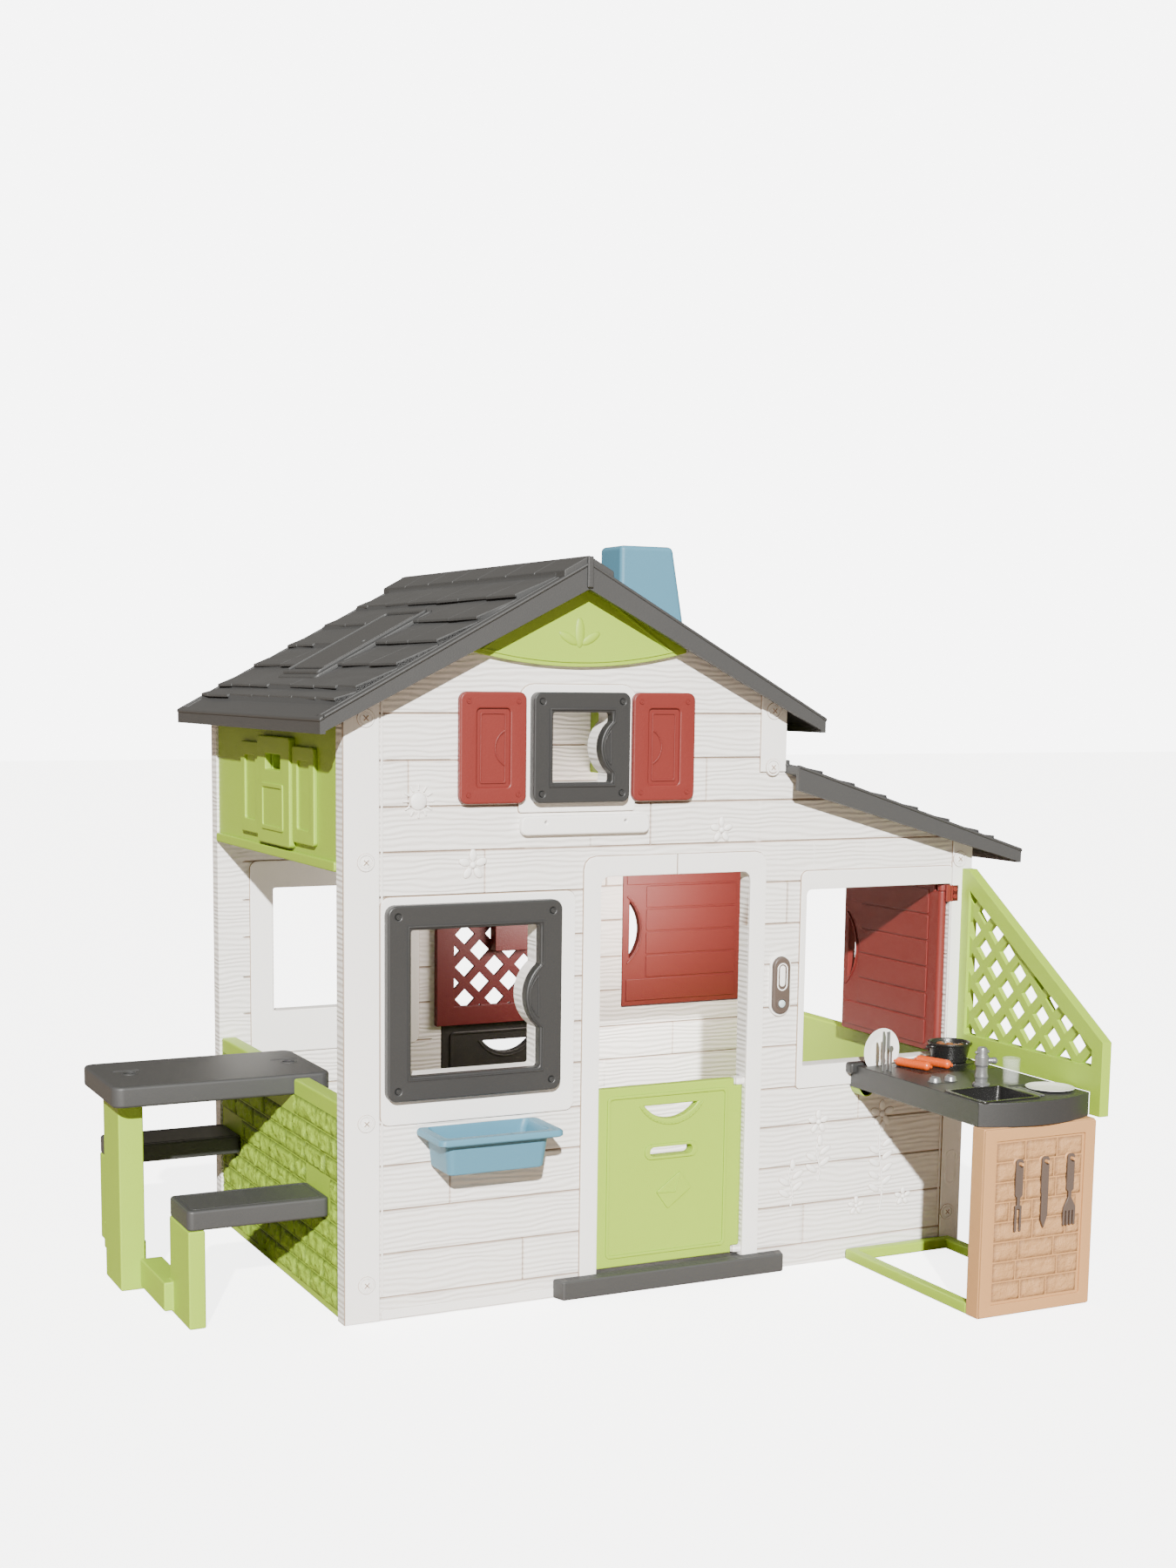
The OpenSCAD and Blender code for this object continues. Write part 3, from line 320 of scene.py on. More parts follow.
def merge(*shapes):
    """Puts several shapes into the first one."""
    first = shapes[0]
    for other in shapes[1:]:
        mesh = bpy.data.meshes.new("part")
        other.to_mesh(mesh)
        other.free()
        first.from_mesh(mesh)
        bpy.data.meshes.remove(mesh)
    return first


def both_ends(shape):
    """Repeats a shape of the front face on the rear face, as in a mirror."""
    other = shape.copy()
    other.transform(REAR)
    return merge(shape, other)


def hand_over(name, shape, finish, body="house", stands_for=(), crease=32, painted_shade=None):
    """Makes the piece. The last argument marks points deep in a corner, in house millimetres, for painted shade."""
    weld(shape)
    bmesh.ops.recalc_face_normals(shape, faces=shape.faces)
    if painted_shade:
        layer = shape.verts.layers.float.new("painted_corner_shade")
        for vertex in shape.verts:
            vertex[layer] = float(painted_shade(*vertex.co))
    shape.transform(TO_FRAME)
    mesh = bpy.data.meshes.new(name)
    shape.to_mesh(mesh)
    shape.free()
    mesh.materials.append(finish.material)
    mesh.polygons.foreach_set("use_smooth", [True] * len(mesh.polygons))
    mesh.set_sharp_from_angle(angle=math.radians(crease))
    piece = bpy.data.objects.new(name, mesh)
    show(piece)
    level_faces = piece.modifiers.new("level_faces", "WEIGHTED_NORMAL")
    level_faces.keep_sharp = True
    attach(piece, body)
    if stands_for:
        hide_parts(*stands_for)
    print(f"{name}: {len(mesh.polygons)} faces")
    return piece


def foot(*faces, along=1):
    """Painted corner shade at the foot of parts that stand on faces at these places along an axis."""
    return lambda *point: max(0, 1 - min(abs(point[along] - face) for face in faces) / 2.6)


# %% [markdown]
# Many mouldings are flat boards with rounded corners, holes and a soft edge. A filled curve makes such a
# board in one go, with its holes and its rounded edge, and is turned into a mesh before it is placed.

# %% Boards from outlines
def rounded(x0, z0, x1, z1, r=8, steps=5):
    """A rectangle with round corners. r is one radius or four, from the lower left, anticlockwise."""
    radii = r if isinstance(r, (list, tuple)) else [r] * 4
    corners = [(x0, z0, 180), (x1, z0, 270), (x1, z1, 0), (x0, z1, 90)]
    points = []
    for (x, z, start), radius in zip(corners, radii):
        cx = x + radius * (1 if x == x0 else -1)
        cz = z + radius * (1 if z == z0 else -1)
        for i in range(steps + 1 if radius else 1):
            a = math.radians(start + 90 * i / steps)
            points.append((cx + radius * math.cos(a), cz + radius * math.sin(a)))
    return points


def band(x0, z0, x1, z1, r, width, inner_r):
    """The outer and inner outline of a rectangular frame."""
    return [rounded(x0, z0, x1, z1, r), rounded(x0 + width, z0 + width, x1 - width, z1 - width, inner_r)]


def arc(cx, cz, r, start, end, steps=16):
    angles = [math.radians(start + (end - start) * i / steps) for i in range(steps + 1)]
    return [(cx + r * math.cos(a), cz + r * math.sin(a)) for a in angles]


def moon(x, z, width, depth, point_to, steps=20):
    """A half-moon on a straight chord whose middle is at x, z; it bulges towards point_to, in degrees."""
    r = (width * width / 4 + depth * depth) / (2 * depth)
    half = math.degrees(math.asin(width / 2 / r))
    a = math.radians(point_to)
    back = depth - r
    return arc(x + back * math.cos(a), z + back * math.sin(a), r, point_to - half, point_to + half, steps)


def add_line(curve, points, closed=True):
    line = curve.splines.new("POLY")
    line.points.add(len(points) - 1)
    line.use_cyclic_u = closed
    for point, place in zip(line.points, points):
        point.co = (*place, 1)


def drawn(curve):
    """Turns a curve into a mesh that can be edited, and takes the curve away."""
    line = bpy.data.objects.new(curve.name, curve)
    show(line)
    bpy.context.view_layer.update()
    mesh = bpy.data.meshes.new_from_object(line.evaluated_get(bpy.context.evaluated_depsgraph_get()))
    shape = bmesh.new()
    shape.from_mesh(mesh)
    bpy.data.objects.remove(line)
    bpy.data.curves.remove(curve)
    bpy.data.meshes.remove(mesh)
    return shape


def board(loops, y0, y1, soft=2.0, steps=2):
    """A board between y0 and y1 with its outline and holes given in x and z."""
    curve = bpy.data.curves.new("outline", "CURVE")
    curve.dimensions = "2D"
    curve.fill_mode = "BOTH"
    curve.extrude = abs(y1 - y0) / 2 - soft
    curve.bevel_depth = soft
    curve.bevel_resolution = steps - 1
    curve.offset = -soft
    for loop in loops:
        add_line(curve, [(x, z, 0) for x, z in loop])
    shape = drawn(curve)
    shape.transform(shift(0, (y0 + y1) / 2, 0) @ rotate(90, "X"))
    weld(shape)
    return shape


print("a rounded rectangle has", len(rounded(0, 0, 40, 40)), "points")

# %% [markdown]
# Blocks, rods and turned parts come from the basic shapes: a cube is stretched and its edges are bevelled,
# and a profile of a few points is spun about an upright axis.

# %% Blocks and turned parts
def bevel(shape, edges, soft, steps):
    bmesh.ops.bevel(shape, geom=edges, offset=soft, offset_type="OFFSET", affect="EDGES", segments=steps,
                    profile=0.5, material=-1)


def block(x0, x1, y0, y1, z0, z1, soft=2.0, steps=2):
    shape = bmesh.new()
    bmesh.ops.create_cube(shape, size=1)
    size = Vector((x1 - x0, y1 - y0, z1 - z0))
    bmesh.ops.scale(shape, vec=size, verts=shape.verts)
    if soft:
        bevel(shape, shape.edges[:], min(soft, min(size) * 0.45), steps)
    bmesh.ops.translate(shape, verts=shape.verts, vec=((x0 + x1) / 2, (y0 + y1) / 2, (z0 + z1) / 2))
    return shape


def turned(profile, steps=40):
    """Spins a profile of (radius, height) pairs about an upright axis."""
    shape = bmesh.new()
    line = [shape.verts.new((r, 0, h)) for r, h in profile]
    edges = [shape.edges.new(pair) for pair in zip(line, line[1:])]
    bmesh.ops.spin(shape, geom=line + edges, cent=(0, 0, 0), axis=(0, 0, 1), angle=2 * math.pi, steps=steps,
                   use_merge=True)
    weld(shape)
    return shape


def cap_on_wall(x, z, y, profile, steps=32):
    """A turned part that stands out of the front face at y, its profile counted outwards."""
    shape = turned(profile, steps)
    shape.transform(shift(x, y, z) @ rotate(90, "X"))
    return shape


def strip(points, width, height, y):
    """A thin raised line through points on the front face at y, as a row of narrow boards."""
    shape = bmesh.new()
    for (xa, za), (xb, zb) in zip(points, points[1:]):
        span = math.hypot(xb - xa, zb - za)
        part = block(-width / 2, span + width / 2, y - height, y + 0.5, -width / 2, width / 2, width * 0.35)
        lean = math.degrees(math.atan2(zb - za, xb - xa))
        part.transform(shift(xa, 0, za) @ rotate(-lean, "Y"))
        shape = merge(shape, part)
    return shape


print("a small block has", len(block(0, 9, 0, 9, 0, 9).faces), "faces")

# %% [markdown]
# A solid whose shape is already right only needs soft edges. Its mesh arrives as loose triangles, so the
# copy is merged, its flat faces are joined again, and then every sharp edge is bevelled.

# %% Softened solids
NEARLY_FLAT, SHARP = math.radians(1), math.radians(32)


def solid_copy(node):
    shape = bmesh.new()
    shape.from_mesh(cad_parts[node].data)
    shape.transform(TO_HOUSE)
    weld(shape, 0.01)
    bmesh.ops.dissolve_limit(shape, angle_limit=NEARLY_FLAT, verts=shape.verts[:], edges=shape.edges[:])
    return shape


def softened(node, finish, soft, body="house", steps=2):
    """A piece with the solid's own shape and round edges."""
    shape = solid_copy(node)
    edges = [e for e in shape.edges if len(e.link_faces) == 2 and e.calc_face_angle() > SHARP]
    if soft:
        bevel(shape, edges, soft, steps)
    return hand_over(node + "_moulding", shape, finish, body, (node,))


SOFT_NODES = [
    ("table_top", GREY, 7, 3), ("front_bench", GREY, 6, 3), ("rear_bench", GREY, 6, 3), ("table_leg", GREEN, 4, 2),
    ("front_bench_support", GREEN, 4, 2), ("rear_bench_support", GREEN, 4, 2), ("front_doorstep", GREY, 5, 3),
    ("rear_doorstep", GREY, 5, 3), ("chimney", BLUE, 12, 4), ("left_upper_panel", GREEN, 4, 2),
    ("right_upper_panel", GREEN, 3, 2), ("left_brick_panel", GREEN, 5, 2), ("right_brick_panel", GREEN, 5, 2),
    ("front_gable_board", GREEN, 2.5, 2), ("rear_gable_board", GREEN, 2.5, 2), ("kitchen_floor_frame", GREEN, 4, 2),
    ("gable_window_frame", FRAME, 3.5, 3), ("window_frame", FRAME, 4.5, 3), ("worktop", FRAME, 2.2, 3),
    ("trellis_box", WINE, 2, 2), ("kitchen_leg_panel", BEIGE, 3, 2), ("lattice_panel", GREEN, 0.9, 2),
    ("rear_trellis", WINE, 1.2, 2), ("roof_left", GREY, 0, 2), ("roof_right", GREY, 0, 2),
    ("lean_to_roof", GREY, 0, 2), ("worktop_bracket", GREEN, 1, 2), ("shutter_hinge_clips", RED, 1.5, 2),
]
for node, finish, soft, steps in SOFT_NODES:
    softened(node, finish, soft, steps=steps)

# %% [markdown]
# A few small solids keep their own mesh and only get a finish: hinge pins, plugs, the part inside the doorbell
# and the sausages, whose round ends are already smooth.

# %% Solids that only need a finish
KEPT_NODES = [
    ("door_hinge_pins", SMOOTH), ("shutter_hinge_pins", RED), ("bell_sound_unit", COAL), ("sausages", ORANGE),
    ("table_plugs", GREY),
]
for node, finish in KEPT_NODES:
    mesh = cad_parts[node].data
    mesh.materials.clear()
    mesh.materials.append(finish.material)
print("finish on", [node for node, finish in KEPT_NODES])

# %% [markdown]
# The walls are moulded with false planks: shallow V-shaped grooves run round the whole wall, inside and out.
# The wall's own mesh is cut at every groove, and the middle line of each cut is pushed in by a few
# millimetres. Under the raised surrounds, which hide it, the groove dies away before it meets an opening.

# %% Planked walls
GROOVES = [51, 149, 247, 347, 441, 543, 638, 741, 837, 936, 1032, 1129, 1228, 1328]
COVERED = [(-9, 72, -9, 1400), (90, 540, 446, 926), (418, 685, 1122, 1382), (581, 1033, -9, 1000),
           (1035, 1085, 1180, 1500), (1156, 1572, 446, 950), (1586, 1650, -9, 1100)]
JOINTS = [(330, 936, 1032), (150, 1129, 1228), (884, 1129, 1228), (740, 1032, 1129), (250, 247, 347), (430, 51, 149),
          (1180, 51, 149), (1330, 347, 441), (1110, 837, 936)]
DEEP = 6.0


def covered(x, z):
    return any(x0 + 4 < x < x1 - 4 and z0 < z < z1 for x0, x1, z0, z1 in COVERED)


def cut(shape, spot, normal):
    bmesh.ops.bisect_plane(shape, geom=shape.verts[:] + shape.edges[:] + shape.faces[:], dist=0.001, plane_co=spot,
                           plane_no=normal)


def grooved(node, y0, y1):
    shape = solid_copy(node)
    for z in GROOVES:
        for side in (-3.2, 0, 3.2):
            cut(shape, (0, 0, z + side), (0, 0, 1))
    for x0, x1, z0, z1 in COVERED:
        for x in (x0, x0 + 8, x1 - 8, x1):
            cut(shape, (x, 0, 0), (1, 0, 0))
    for x, low, high in JOINTS:
        for side in (-3, 0, 3):
            cut(shape, (x + side, 0, 0), (1, 0, 0))
    for vertex in shape.verts:
        x, y, z = vertex.co
        at_joint = any(abs(x - j) < 0.1 and low < z < high for j, low, high in JOINTS)
        if (at_joint or min(abs(z - g) for g in GROOVES) < 0.1) and not covered(x, z):
            if abs(y - y0) < 0.1:
                vertex.co.y += DEEP
            elif abs(y - y1) < 0.1:
                vertex.co.y -= DEEP

    # Painted shade: the bottom line of every groove gets the darker tan, as the shade inside the groove.
    def in_groove(x, y, z):
        return min(abs(y - y0 - DEEP), abs(y - y1 + DEEP)) < 0.3
    return hand_over(node + "_planks", shape, WHITE, stands_for=(node,), crease=1, painted_shade=in_groove)


for side in ("left", "right"):
    grooved(f"front_wall_{side}", 0, WALL_T)
    grooved(f"rear_wall_{side}", HOUSE_D - WALL_T, HOUSE_D)

# %% [markdown]
# Round every opening and up every corner the wall carries smooth raised boards. They stand a few millimetres
# proud of the planks and have round corners, and a thin tan bead at their foot is painted shade, the dark line
# of shade in that corner. The surround of the doorway is split at the seam, and has no bead where the door swings.

# %% Raised surrounds
RIDGE_X, RIDGE_Z, MAIN_SLOPE, LEAN_X, LEAN_Z, LEAN_SLOPE = 547, 1665, 335 / 617, 1094, 1222, 210 / 651
PROUD = -6


def under_main(x):
    return RIDGE_Z - abs(x - RIDGE_X) * MAIN_SLOPE - 31


def under_lean(x):
    return LEAN_Z - (x - LEAN_X) * LEAN_SLOPE - 31


def opening(x, z, w, h, bulge, depth, grow=0):
    """A window's outline with the half-moon bulge on its right side."""
    right = x + w + grow
    low, high = z - grow, z + h + grow
    half_moon = moon(right, z + h / 2, bulge, depth, 180)
    return [(x - grow, low), (right, low), *reversed(half_moon), (right, high), (x - grow, high)]


BIG = (146, 546, 307, 320, 142, 34)
SMALL = (479, 1177, 145, 154, 113.6, 27.2)
INSIDE_BIG = (143, 543, 456, 869)


def bead(loop, y, closed=True, radius=1.7):
    """A thin round bead along an outline."""
    curve = bpy.data.curves.new("bead", "CURVE")
    curve.dimensions = "3D"
    curve.bevel_depth, curve.bevel_resolution = radius, 1
    curve.use_fill_caps = not closed
    add_line(curve, [(x, y, z) for x, z in loop], closed)
    return drawn(curve)


LEFT_DOOR = [(571, 2), (614, 2), (614, 944), (617, 955), (627, 963), (634, 964), (807.5, 964), (807.5, 1010),
             (600, 1010), (585, 1006), (575, 996), (571, 982)]
RIGHT_DOOR = [(2 * SEAM - x, z) for x, z in LEFT_DOOR]
AROUND_BIG = rounded(84, 437, 549, 936, 20)
UNDER_EAVE = under_lean(LEAN_X) + 4
BOARDS = [
    [[(1, 2), (81, 2), (81, under_main(81)), (1, under_main(1))]],
    [AROUND_BIG, opening(*BIG)],
    [rounded(408, 1112, 695, 1392, [6, 6, 34, 34]), opening(*SMALL)],
    [[(1025, UNDER_EAVE), (1093, UNDER_EAVE), (1093, under_main(1093)), (1025, under_main(1025))]],
    [[(1582, 2), (1639, 2), (1639, under_lean(1639)), (1582, under_lean(1582))]],
    [rounded(1146, 437, 1580, 960, [8, 8, 8, 18]), rounded(1161, 492, 1576.5, 916, [4, 4, 4, 14])],
]
FOOT_Y = 0.4
feet = [bead(loops[0], -FOOT_Y) for loops in BOARDS] + [bead(AROUND_BIG, WALL_T + FOOT_Y)]
feet += [bead(side[6:] + side[:1], -FOOT_Y, closed=False) for side in (LEFT_DOOR, RIGHT_DOOR)]
# Tan beads of painted shade along the foot of the surrounds and the doorway.
hand_over("surround_shade_beads", both_ends(merge(*feet)), SHADE_LINE)

surrounds = [board(loops, PROUD, 1, 2.2) for loops in [*BOARDS, [LEFT_DOOR], [RIGHT_DOOR]]]
surrounds += [board([AROUND_BIG, rounded(*INSIDE_BIG, 4)], WALL_T - 1, WALL_T + 5, 2),
              strip([(88, 60), (88, under_main(88) - 8)], 5, 2.5, 0), strip([(1576, 60), (1576, 425)], 5, 2.5, 0),
              board([rounded(86, 3, 566, 24, 6)], -3, 1, 1.2)]
hand_over("surrounds", both_ends(merge(*surrounds)), SMOOTH, painted_shade=foot(0, HOUSE_D, WALL_T, HOUSE_D - WALL_T))

name_plate = board([rounded(410, 1062, 729, 1104, 14), arc(470, 1090, 3, 0, 330, 11), arc(668, 1090, 3, 0, 330, 11)],
                   -16, 1, 4, 3)
hand_over("name_plate", both_ends(name_plate), SMOOTH, painted_shade=foot(-6, HOUSE_D + 6))
recess = board(band(1590, 156, 1628, 246, 18, 7, 11), -8, -3, 1.5)
hand_over("post_slot_rim", both_ends(recess), SMOOTH)

# %% [markdown]
# Soft reliefs decorate the planks. Here they are plain garden things that belong to nobody: five-petalled
# flowers, a sprig with leaves and a small sun, each built from flat domes half sunk in the wall.

# %% Reliefs on the planks
def dome(x, z, rx, rz, turn_by=0.0, height=5.0, y=0.0):
    shape = bmesh.new()
    bmesh.ops.create_uvsphere(shape, u_segments=18, v_segments=10, radius=1)
    shape.transform(shift(x, y, z) @ rotate(-turn_by, "Y") @ stretch(rx, height, rz))
    return shape


def flower(x, z, r):
    petals = []
    for i in range(5):
        a = 90 + 72 * i
        petals.append(dome(x + 0.62 * r * math.cos(math.radians(a)), z + 0.62 * r * math.sin(math.radians(a)),
                           0.42 * r, 0.27 * r, a, 5))
    return merge(dome(x, z, 0.24 * r, 0.24 * r, 0, 7), *petals)


def sprig(x, z, height, leaves):
    stem = [(x + 6 * math.sin(i * 0.7), z + height * i / 8) for i in range(9)]
    parts = [strip(stem, 5, 3, 0)]
    for i in range(leaves):
        side = 1 if i % 2 else -1
        lz = z + height * (0.25 + 0.62 * i / leaves)
        parts.append(dome(x + side * 19, lz + 9, 19, 8, 90 - side * 58, 4.5))
    parts.append(dome(x + 4, z + height + 9, 15, 8, 90, 4.5))
    return merge(*parts)


def small_sun(x, z, r):
    rays = [strip([(x + 1.25 * r * math.cos(a), z + 1.25 * r * math.sin(a)),
                   (x + 1.7 * r * math.cos(a), z + 1.7 * r * math.sin(a))], 5, 3, 0)
            for a in [math.radians(30 * i) for i in range(12)]]
    return merge(dome(x, z, r, r, 0, 6), *rays)


reliefs = merge(small_sun(172, 1141, 20), flower(300, 1000, 34), flower(925, 1062, 30), flower(1214, 350, 30),
                sprig(1140, 150, 92, 4), sprig(1399, 110, 205, 8), flower(1399, 355, 34), flower(1330, 130, 24),
                flower(1468, 140, 24), sprig(1216, 205, 90, 4))
hand_over("wall_reliefs", both_ends(reliefs), SMOOTH, crease=50, painted_shade=foot(0, HOUSE_D))

# %% [markdown]
# The halves of the wall are held by big plastic screws with a shallow cross in a round head. The frames have
# small ones. Both are turned discs with a ring round them, and the cross is made of two low bars.

# %% Screws
BIG_SCREWS = [(50, 1318), (50, 1013), (50, 447), (50, 87), (1057, 1335), (1057, 1205), (1601, 88), (1601, 976)]
CROSS_Y = 9.6


def big_screw(x, z):
    profile = [(0, 11), (11, 11), (12.6, 10.4), (13.2, 8), (14.6, 8), (15.2, 11.4), (18.6, 11.4), (20, 10), (20, 0),
               (0, 0)]
    head = cap_on_wall(x, z, 3, profile)
    for a in (45, -45):
        bar = block(-8, 8, -CROSS_Y, -7, -1.6, 1.6, 0.7)
        bar.transform(shift(x, 0, z) @ rotate(a, "Y"))
        head = merge(head, bar)
    return head


def screw_shade(x, y, z):
    """Painted shade: the ring groove, the outer edge and the cross are darker than the head."""
    away = min(math.hypot(x - sx, z - sz) for sx, sz in BIG_SCREWS)
    in_ring = 12.9 < away < 14.9
    at_edge = away > 19.5 and min(abs(y + 7), abs(y - HOUSE_D - 7)) < 8
    return in_ring or at_edge or min(abs(y + CROSS_Y), abs(y - HOUSE_D - CROSS_Y)) < 0.2


screws = merge(*[big_screw(x, z) for x, z in BIG_SCREWS])
rear_screws = screws.copy()
rear_screws.transform(REAR)
hand_over("front_screw_heads", screws, SMOOTH, stands_for=("front_wall_screws",), painted_shade=screw_shade)
hand_over("rear_screw_heads", rear_screws, SMOOTH, stands_for=("rear_wall_screws",), painted_shade=screw_shade)


def small_screw(x, z, y):
    ring = [(0, 1.4), (1.6, 1.4), (2.2, 0.7), (3.6, 0.7), (4.2, 1.6), (5.6, 1.6), (6.2, 0.6), (6.2, -4), (0, -4)]
    return cap_on_wall(x, z, y, ring, 20)


def corners(x0, z0, x1, z1, inset):
    return [(x, z) for x in (x0 + inset, x1 - inset) for z in (z0 + inset, z1 - inset)]


FRAME_FACE, SHUTTER_FACE = -28, -18
frame_sites = corners(92, 492, 507, 920, 24) + corners(433, 1133, 670, 1375, 20)
shutter_sites = [site for x in (262, 683) for site in corners(x, 1133, x + 158, 1375, 20)]
frame_screws = merge(*[small_screw(x, z, FRAME_FACE) for x, z in frame_sites])
shutter_screws = merge(*[small_screw(x, z, SHUTTER_FACE) for x, z in shutter_sites])
hand_over("small_screw_heads", frame_screws, FRAME, stands_for=("frame_screws",))
hand_over("shutter_screw_heads", shutter_screws, RED)

# %% [markdown]
# Each gable shutter is a cushion-shaped board with a sunk panel. On the side next to the window a curved line
# runs across the panel, as if it had a half-moon grip. The window frames carry the same curved line.

# %% Gable shutters and window details
for name, x, inner in (("left", 262, 1), ("right", 683, -1)):
    body = board([rounded(x, 1133, x + 158, 1375, 18), rounded(x + 40, 1169, x + 118, 1339, 8)],
                 SHUTTER_FACE, 0, 4, 3)
    panel = board([rounded(x + 36, 1165, x + 122, 1343, 4)], -12.5, -3, 1.5)
    lip = board([rounded(x + 48, 1177, x + 110, 1331, 5), rounded(x + 52, 1181, x + 106, 1327, 4)], -15, -11, 1.2)
    grip_x = x + 106 if inner > 0 else x + 52
    grip = strip(moon(grip_x, 1254, 74, 22, 180 if inner > 0 else 0, 12), 4, 2.6, -12.5)
    hand_over(f"gable_shutter_{name}_moulding", merge(body, panel, lip, grip), RED,
              stands_for=(f"gable_shutter_{name}",))


frame_lines = [board([opening(*window, 9), opening(*window, 5)], FRAME_FACE - 3, FRAME_FACE + 2, 1.2)
               for window in (BIG, SMALL)]
for x, z, tall, deep in ((449, 706, 92, 20), (621, 1254, 74, 15)):
    for line in (moon(x, z, tall, deep, 180, 12), [(x, z - tall / 2), (x, z + tall / 2)]):
        frame_lines.append(strip(line, 3.5, 2.4, FRAME_FACE))
hand_over("frame_lines", merge(*frame_lines), FRAME)

# %% [markdown]
# The half-doors have a rounded outline pressed into both faces, a ring round the letter slot and the relief
# of a letter, turned a little. The shutters carry six planks with round edges and a rim round the grip.

# %% Door and shutter reliefs
def door_relief(y):
    outline = board(band(640, 74, 958, 456, 12, 7, 8), y - 4, y + 1, 1.5)
    grip = strip(moon(SEAM, 427, 166, 46, 270), 4.5, 2.6, y)
    ring = board([rounded(SEAM - 70, 299, SEAM + 70, 335, 17), rounded(SEAM - 56, 306, SEAM + 56, 328, 10)],
                 y - 4, y + 1, 1.6)
    sheet = board([rounded(-38, -26, 38, 26, 3)], -3.5, 1, 1.3)
    flap = strip([(-36, 24), (0, -4), (36, 24)], 3.2, 2.4, -3.4)
    letter = merge(sheet, flap)
    letter.transform(shift(SEAM + 8, y, 222) @ rotate(-36, "Y"))
    return merge(outline, grip, ring, letter)


def both_faces(make, out_face, in_face):
    """The same relief on both faces of a leaf: the second is the mirror of the first."""
    first = make(out_face)
    other = first.copy()
    other.transform(shift(0, out_face + in_face, 0) @ stretch(1, -1, 1))
    return merge(first, other)


softened("front_door", GREEN, 3.0, "front_door", 3)
softened("rear_door", COAL, 3.0, "rear_door", 3)
hand_over("front_door_relief", both_faces(door_relief, 2, 24), GREEN, "front_door", painted_shade=foot(2, 24))
hand_over("rear_door_relief", both_faces(door_relief, 928, 950), COAL, "rear_door")

AXIS_X, FRONT_AXIS_Y, REAR_AXIS_Y, LEAF_Z, LEAF_W, LEAF_H = 1565, 13, 939, 495, 401, 418


def shutter_relief(y):
    planks = []
    for i in range(6):
        low = 14 + i * 65.5
        near_grip = low < LEAF_H / 2 + 92 and low + 62 > LEAF_H / 2 - 80
        start = -LEAF_W + (74 if near_grip else 12)
        planks.append(board([rounded(start, low, -36, low + 61.5, 5)], y - 2.6, y + 1, 1.6))
    rim = strip(moon(-LEAF_W + 16, LEAF_H / 2 + 6, 186, 45, 0, 18), 6, 3.5, y)
    return merge(*planks, rim)


for name, y, turn_by in (("front_shutter", FRONT_AXIS_Y, -90), ("rear_shutter", REAR_AXIS_Y, 0)):
    softened(name, RED, 2.5, name, 2)
    relief = both_faces(shutter_relief, -11, 11)
    relief.transform(shift(AXIS_X, y, LEAF_Z) @ rotate(turn_by, "Z"))
    hand_over(name + "_relief", relief, RED, name)

# %% [markdown]
# Shingles cover the roof. Each one is a thin board with soft edges, cut a little uneven, that lies on its row
# and tips up at the lower edge. They are laid out flat, with s down the slope and h above it, and one matrix
# then leans the whole field to the angle of the roof.

# %% Shingles
random.seed(7)
ROW, STEP, VERGE, EAVE = 92, 12, 45, 50
ROOF_Y0, ROOF_Y1 = -60, HOUSE_D + 60


def rows_of(width):
    lows = [width - EAVE] + [width - EAVE - ROW * (i - 0.5) for i in range(1, int((width - EAVE) / ROW - 0.5) + 2)]
    return list(zip(lows, lows[1:]))


def shingle(low, high, y0, y1):
    shape = block(high - 6, low + 3, y0, y1, -3, 3.6, 1.5, 2)
    slip, skew = random.uniform(-3, 1), random.uniform(-3, 3)
    for vertex in shape.verts:
        s, y, h = vertex.co
        part = (s - high) / (low - high)
        vertex.co.x += max(0, part) * (slip + skew * (y - y0) / (y1 - y0))
        vertex.co.z -= STEP * (1 - part)
    return shape


def leaning(shape, side, ridge_x, ridge_z, slope):
    shape.transform(axes((side, 0, 0, ridge_x), (0, 1, 0, 0), (-slope, 0, 1, ridge_z)))
    return shape


def shingled(width, bare=None):
    """All the shingles of one roof half; bare is a part of the field that another piece covers."""
    field = []
    for low, high in rows_of(width):
        y = ROOF_Y0 + VERGE - random.uniform(0, 30)
        while y < ROOF_Y1 - VERGE:
            wide = random.uniform(125, 195)
            y0, y1 = max(y, ROOF_Y0 + VERGE), min(y + wide, ROOF_Y1 - VERGE)
            hidden = bare and bare[0] < (low + high) / 2 < bare[1] and y0 < bare[3] and y1 > bare[2]
            if y1 - y0 > 25 and not hidden:
                field.append(shingle(low, high, y0 + 0.9, y1 - 0.9))
            y += wide
    return merge(*field)


def trim(width, cap):
    """Round edge strips along both gables and the eave, and the jointed ridge cap."""
    parts = []
    for near, far in ((-3, 12), (VERGE - 14, VERGE - 3)):
        for y0, y1 in ((ROOF_Y0 + near, ROOF_Y0 + far), (ROOF_Y1 - far, ROOF_Y1 - near)):
            parts.append(block(0, width - 2, y0, y1, -STEP - 5, -STEP + 2.5, 3, 3))
    parts.append(block(width - 12, width + 2, ROOF_Y0 - 3, ROOF_Y1 + 3, -STEP - 6, -STEP + 2.5, 3, 3))
    y = ROOF_Y0
    while cap and y < ROOF_Y1 - 5:
        wide = (ROOF_Y1 - ROOF_Y0) / 7
        parts.append(block(-1, cap, y + 1.5, y + wide - 1.5, -13, 4, 2.5, 3))
        y += wide
    return merge(*parts)


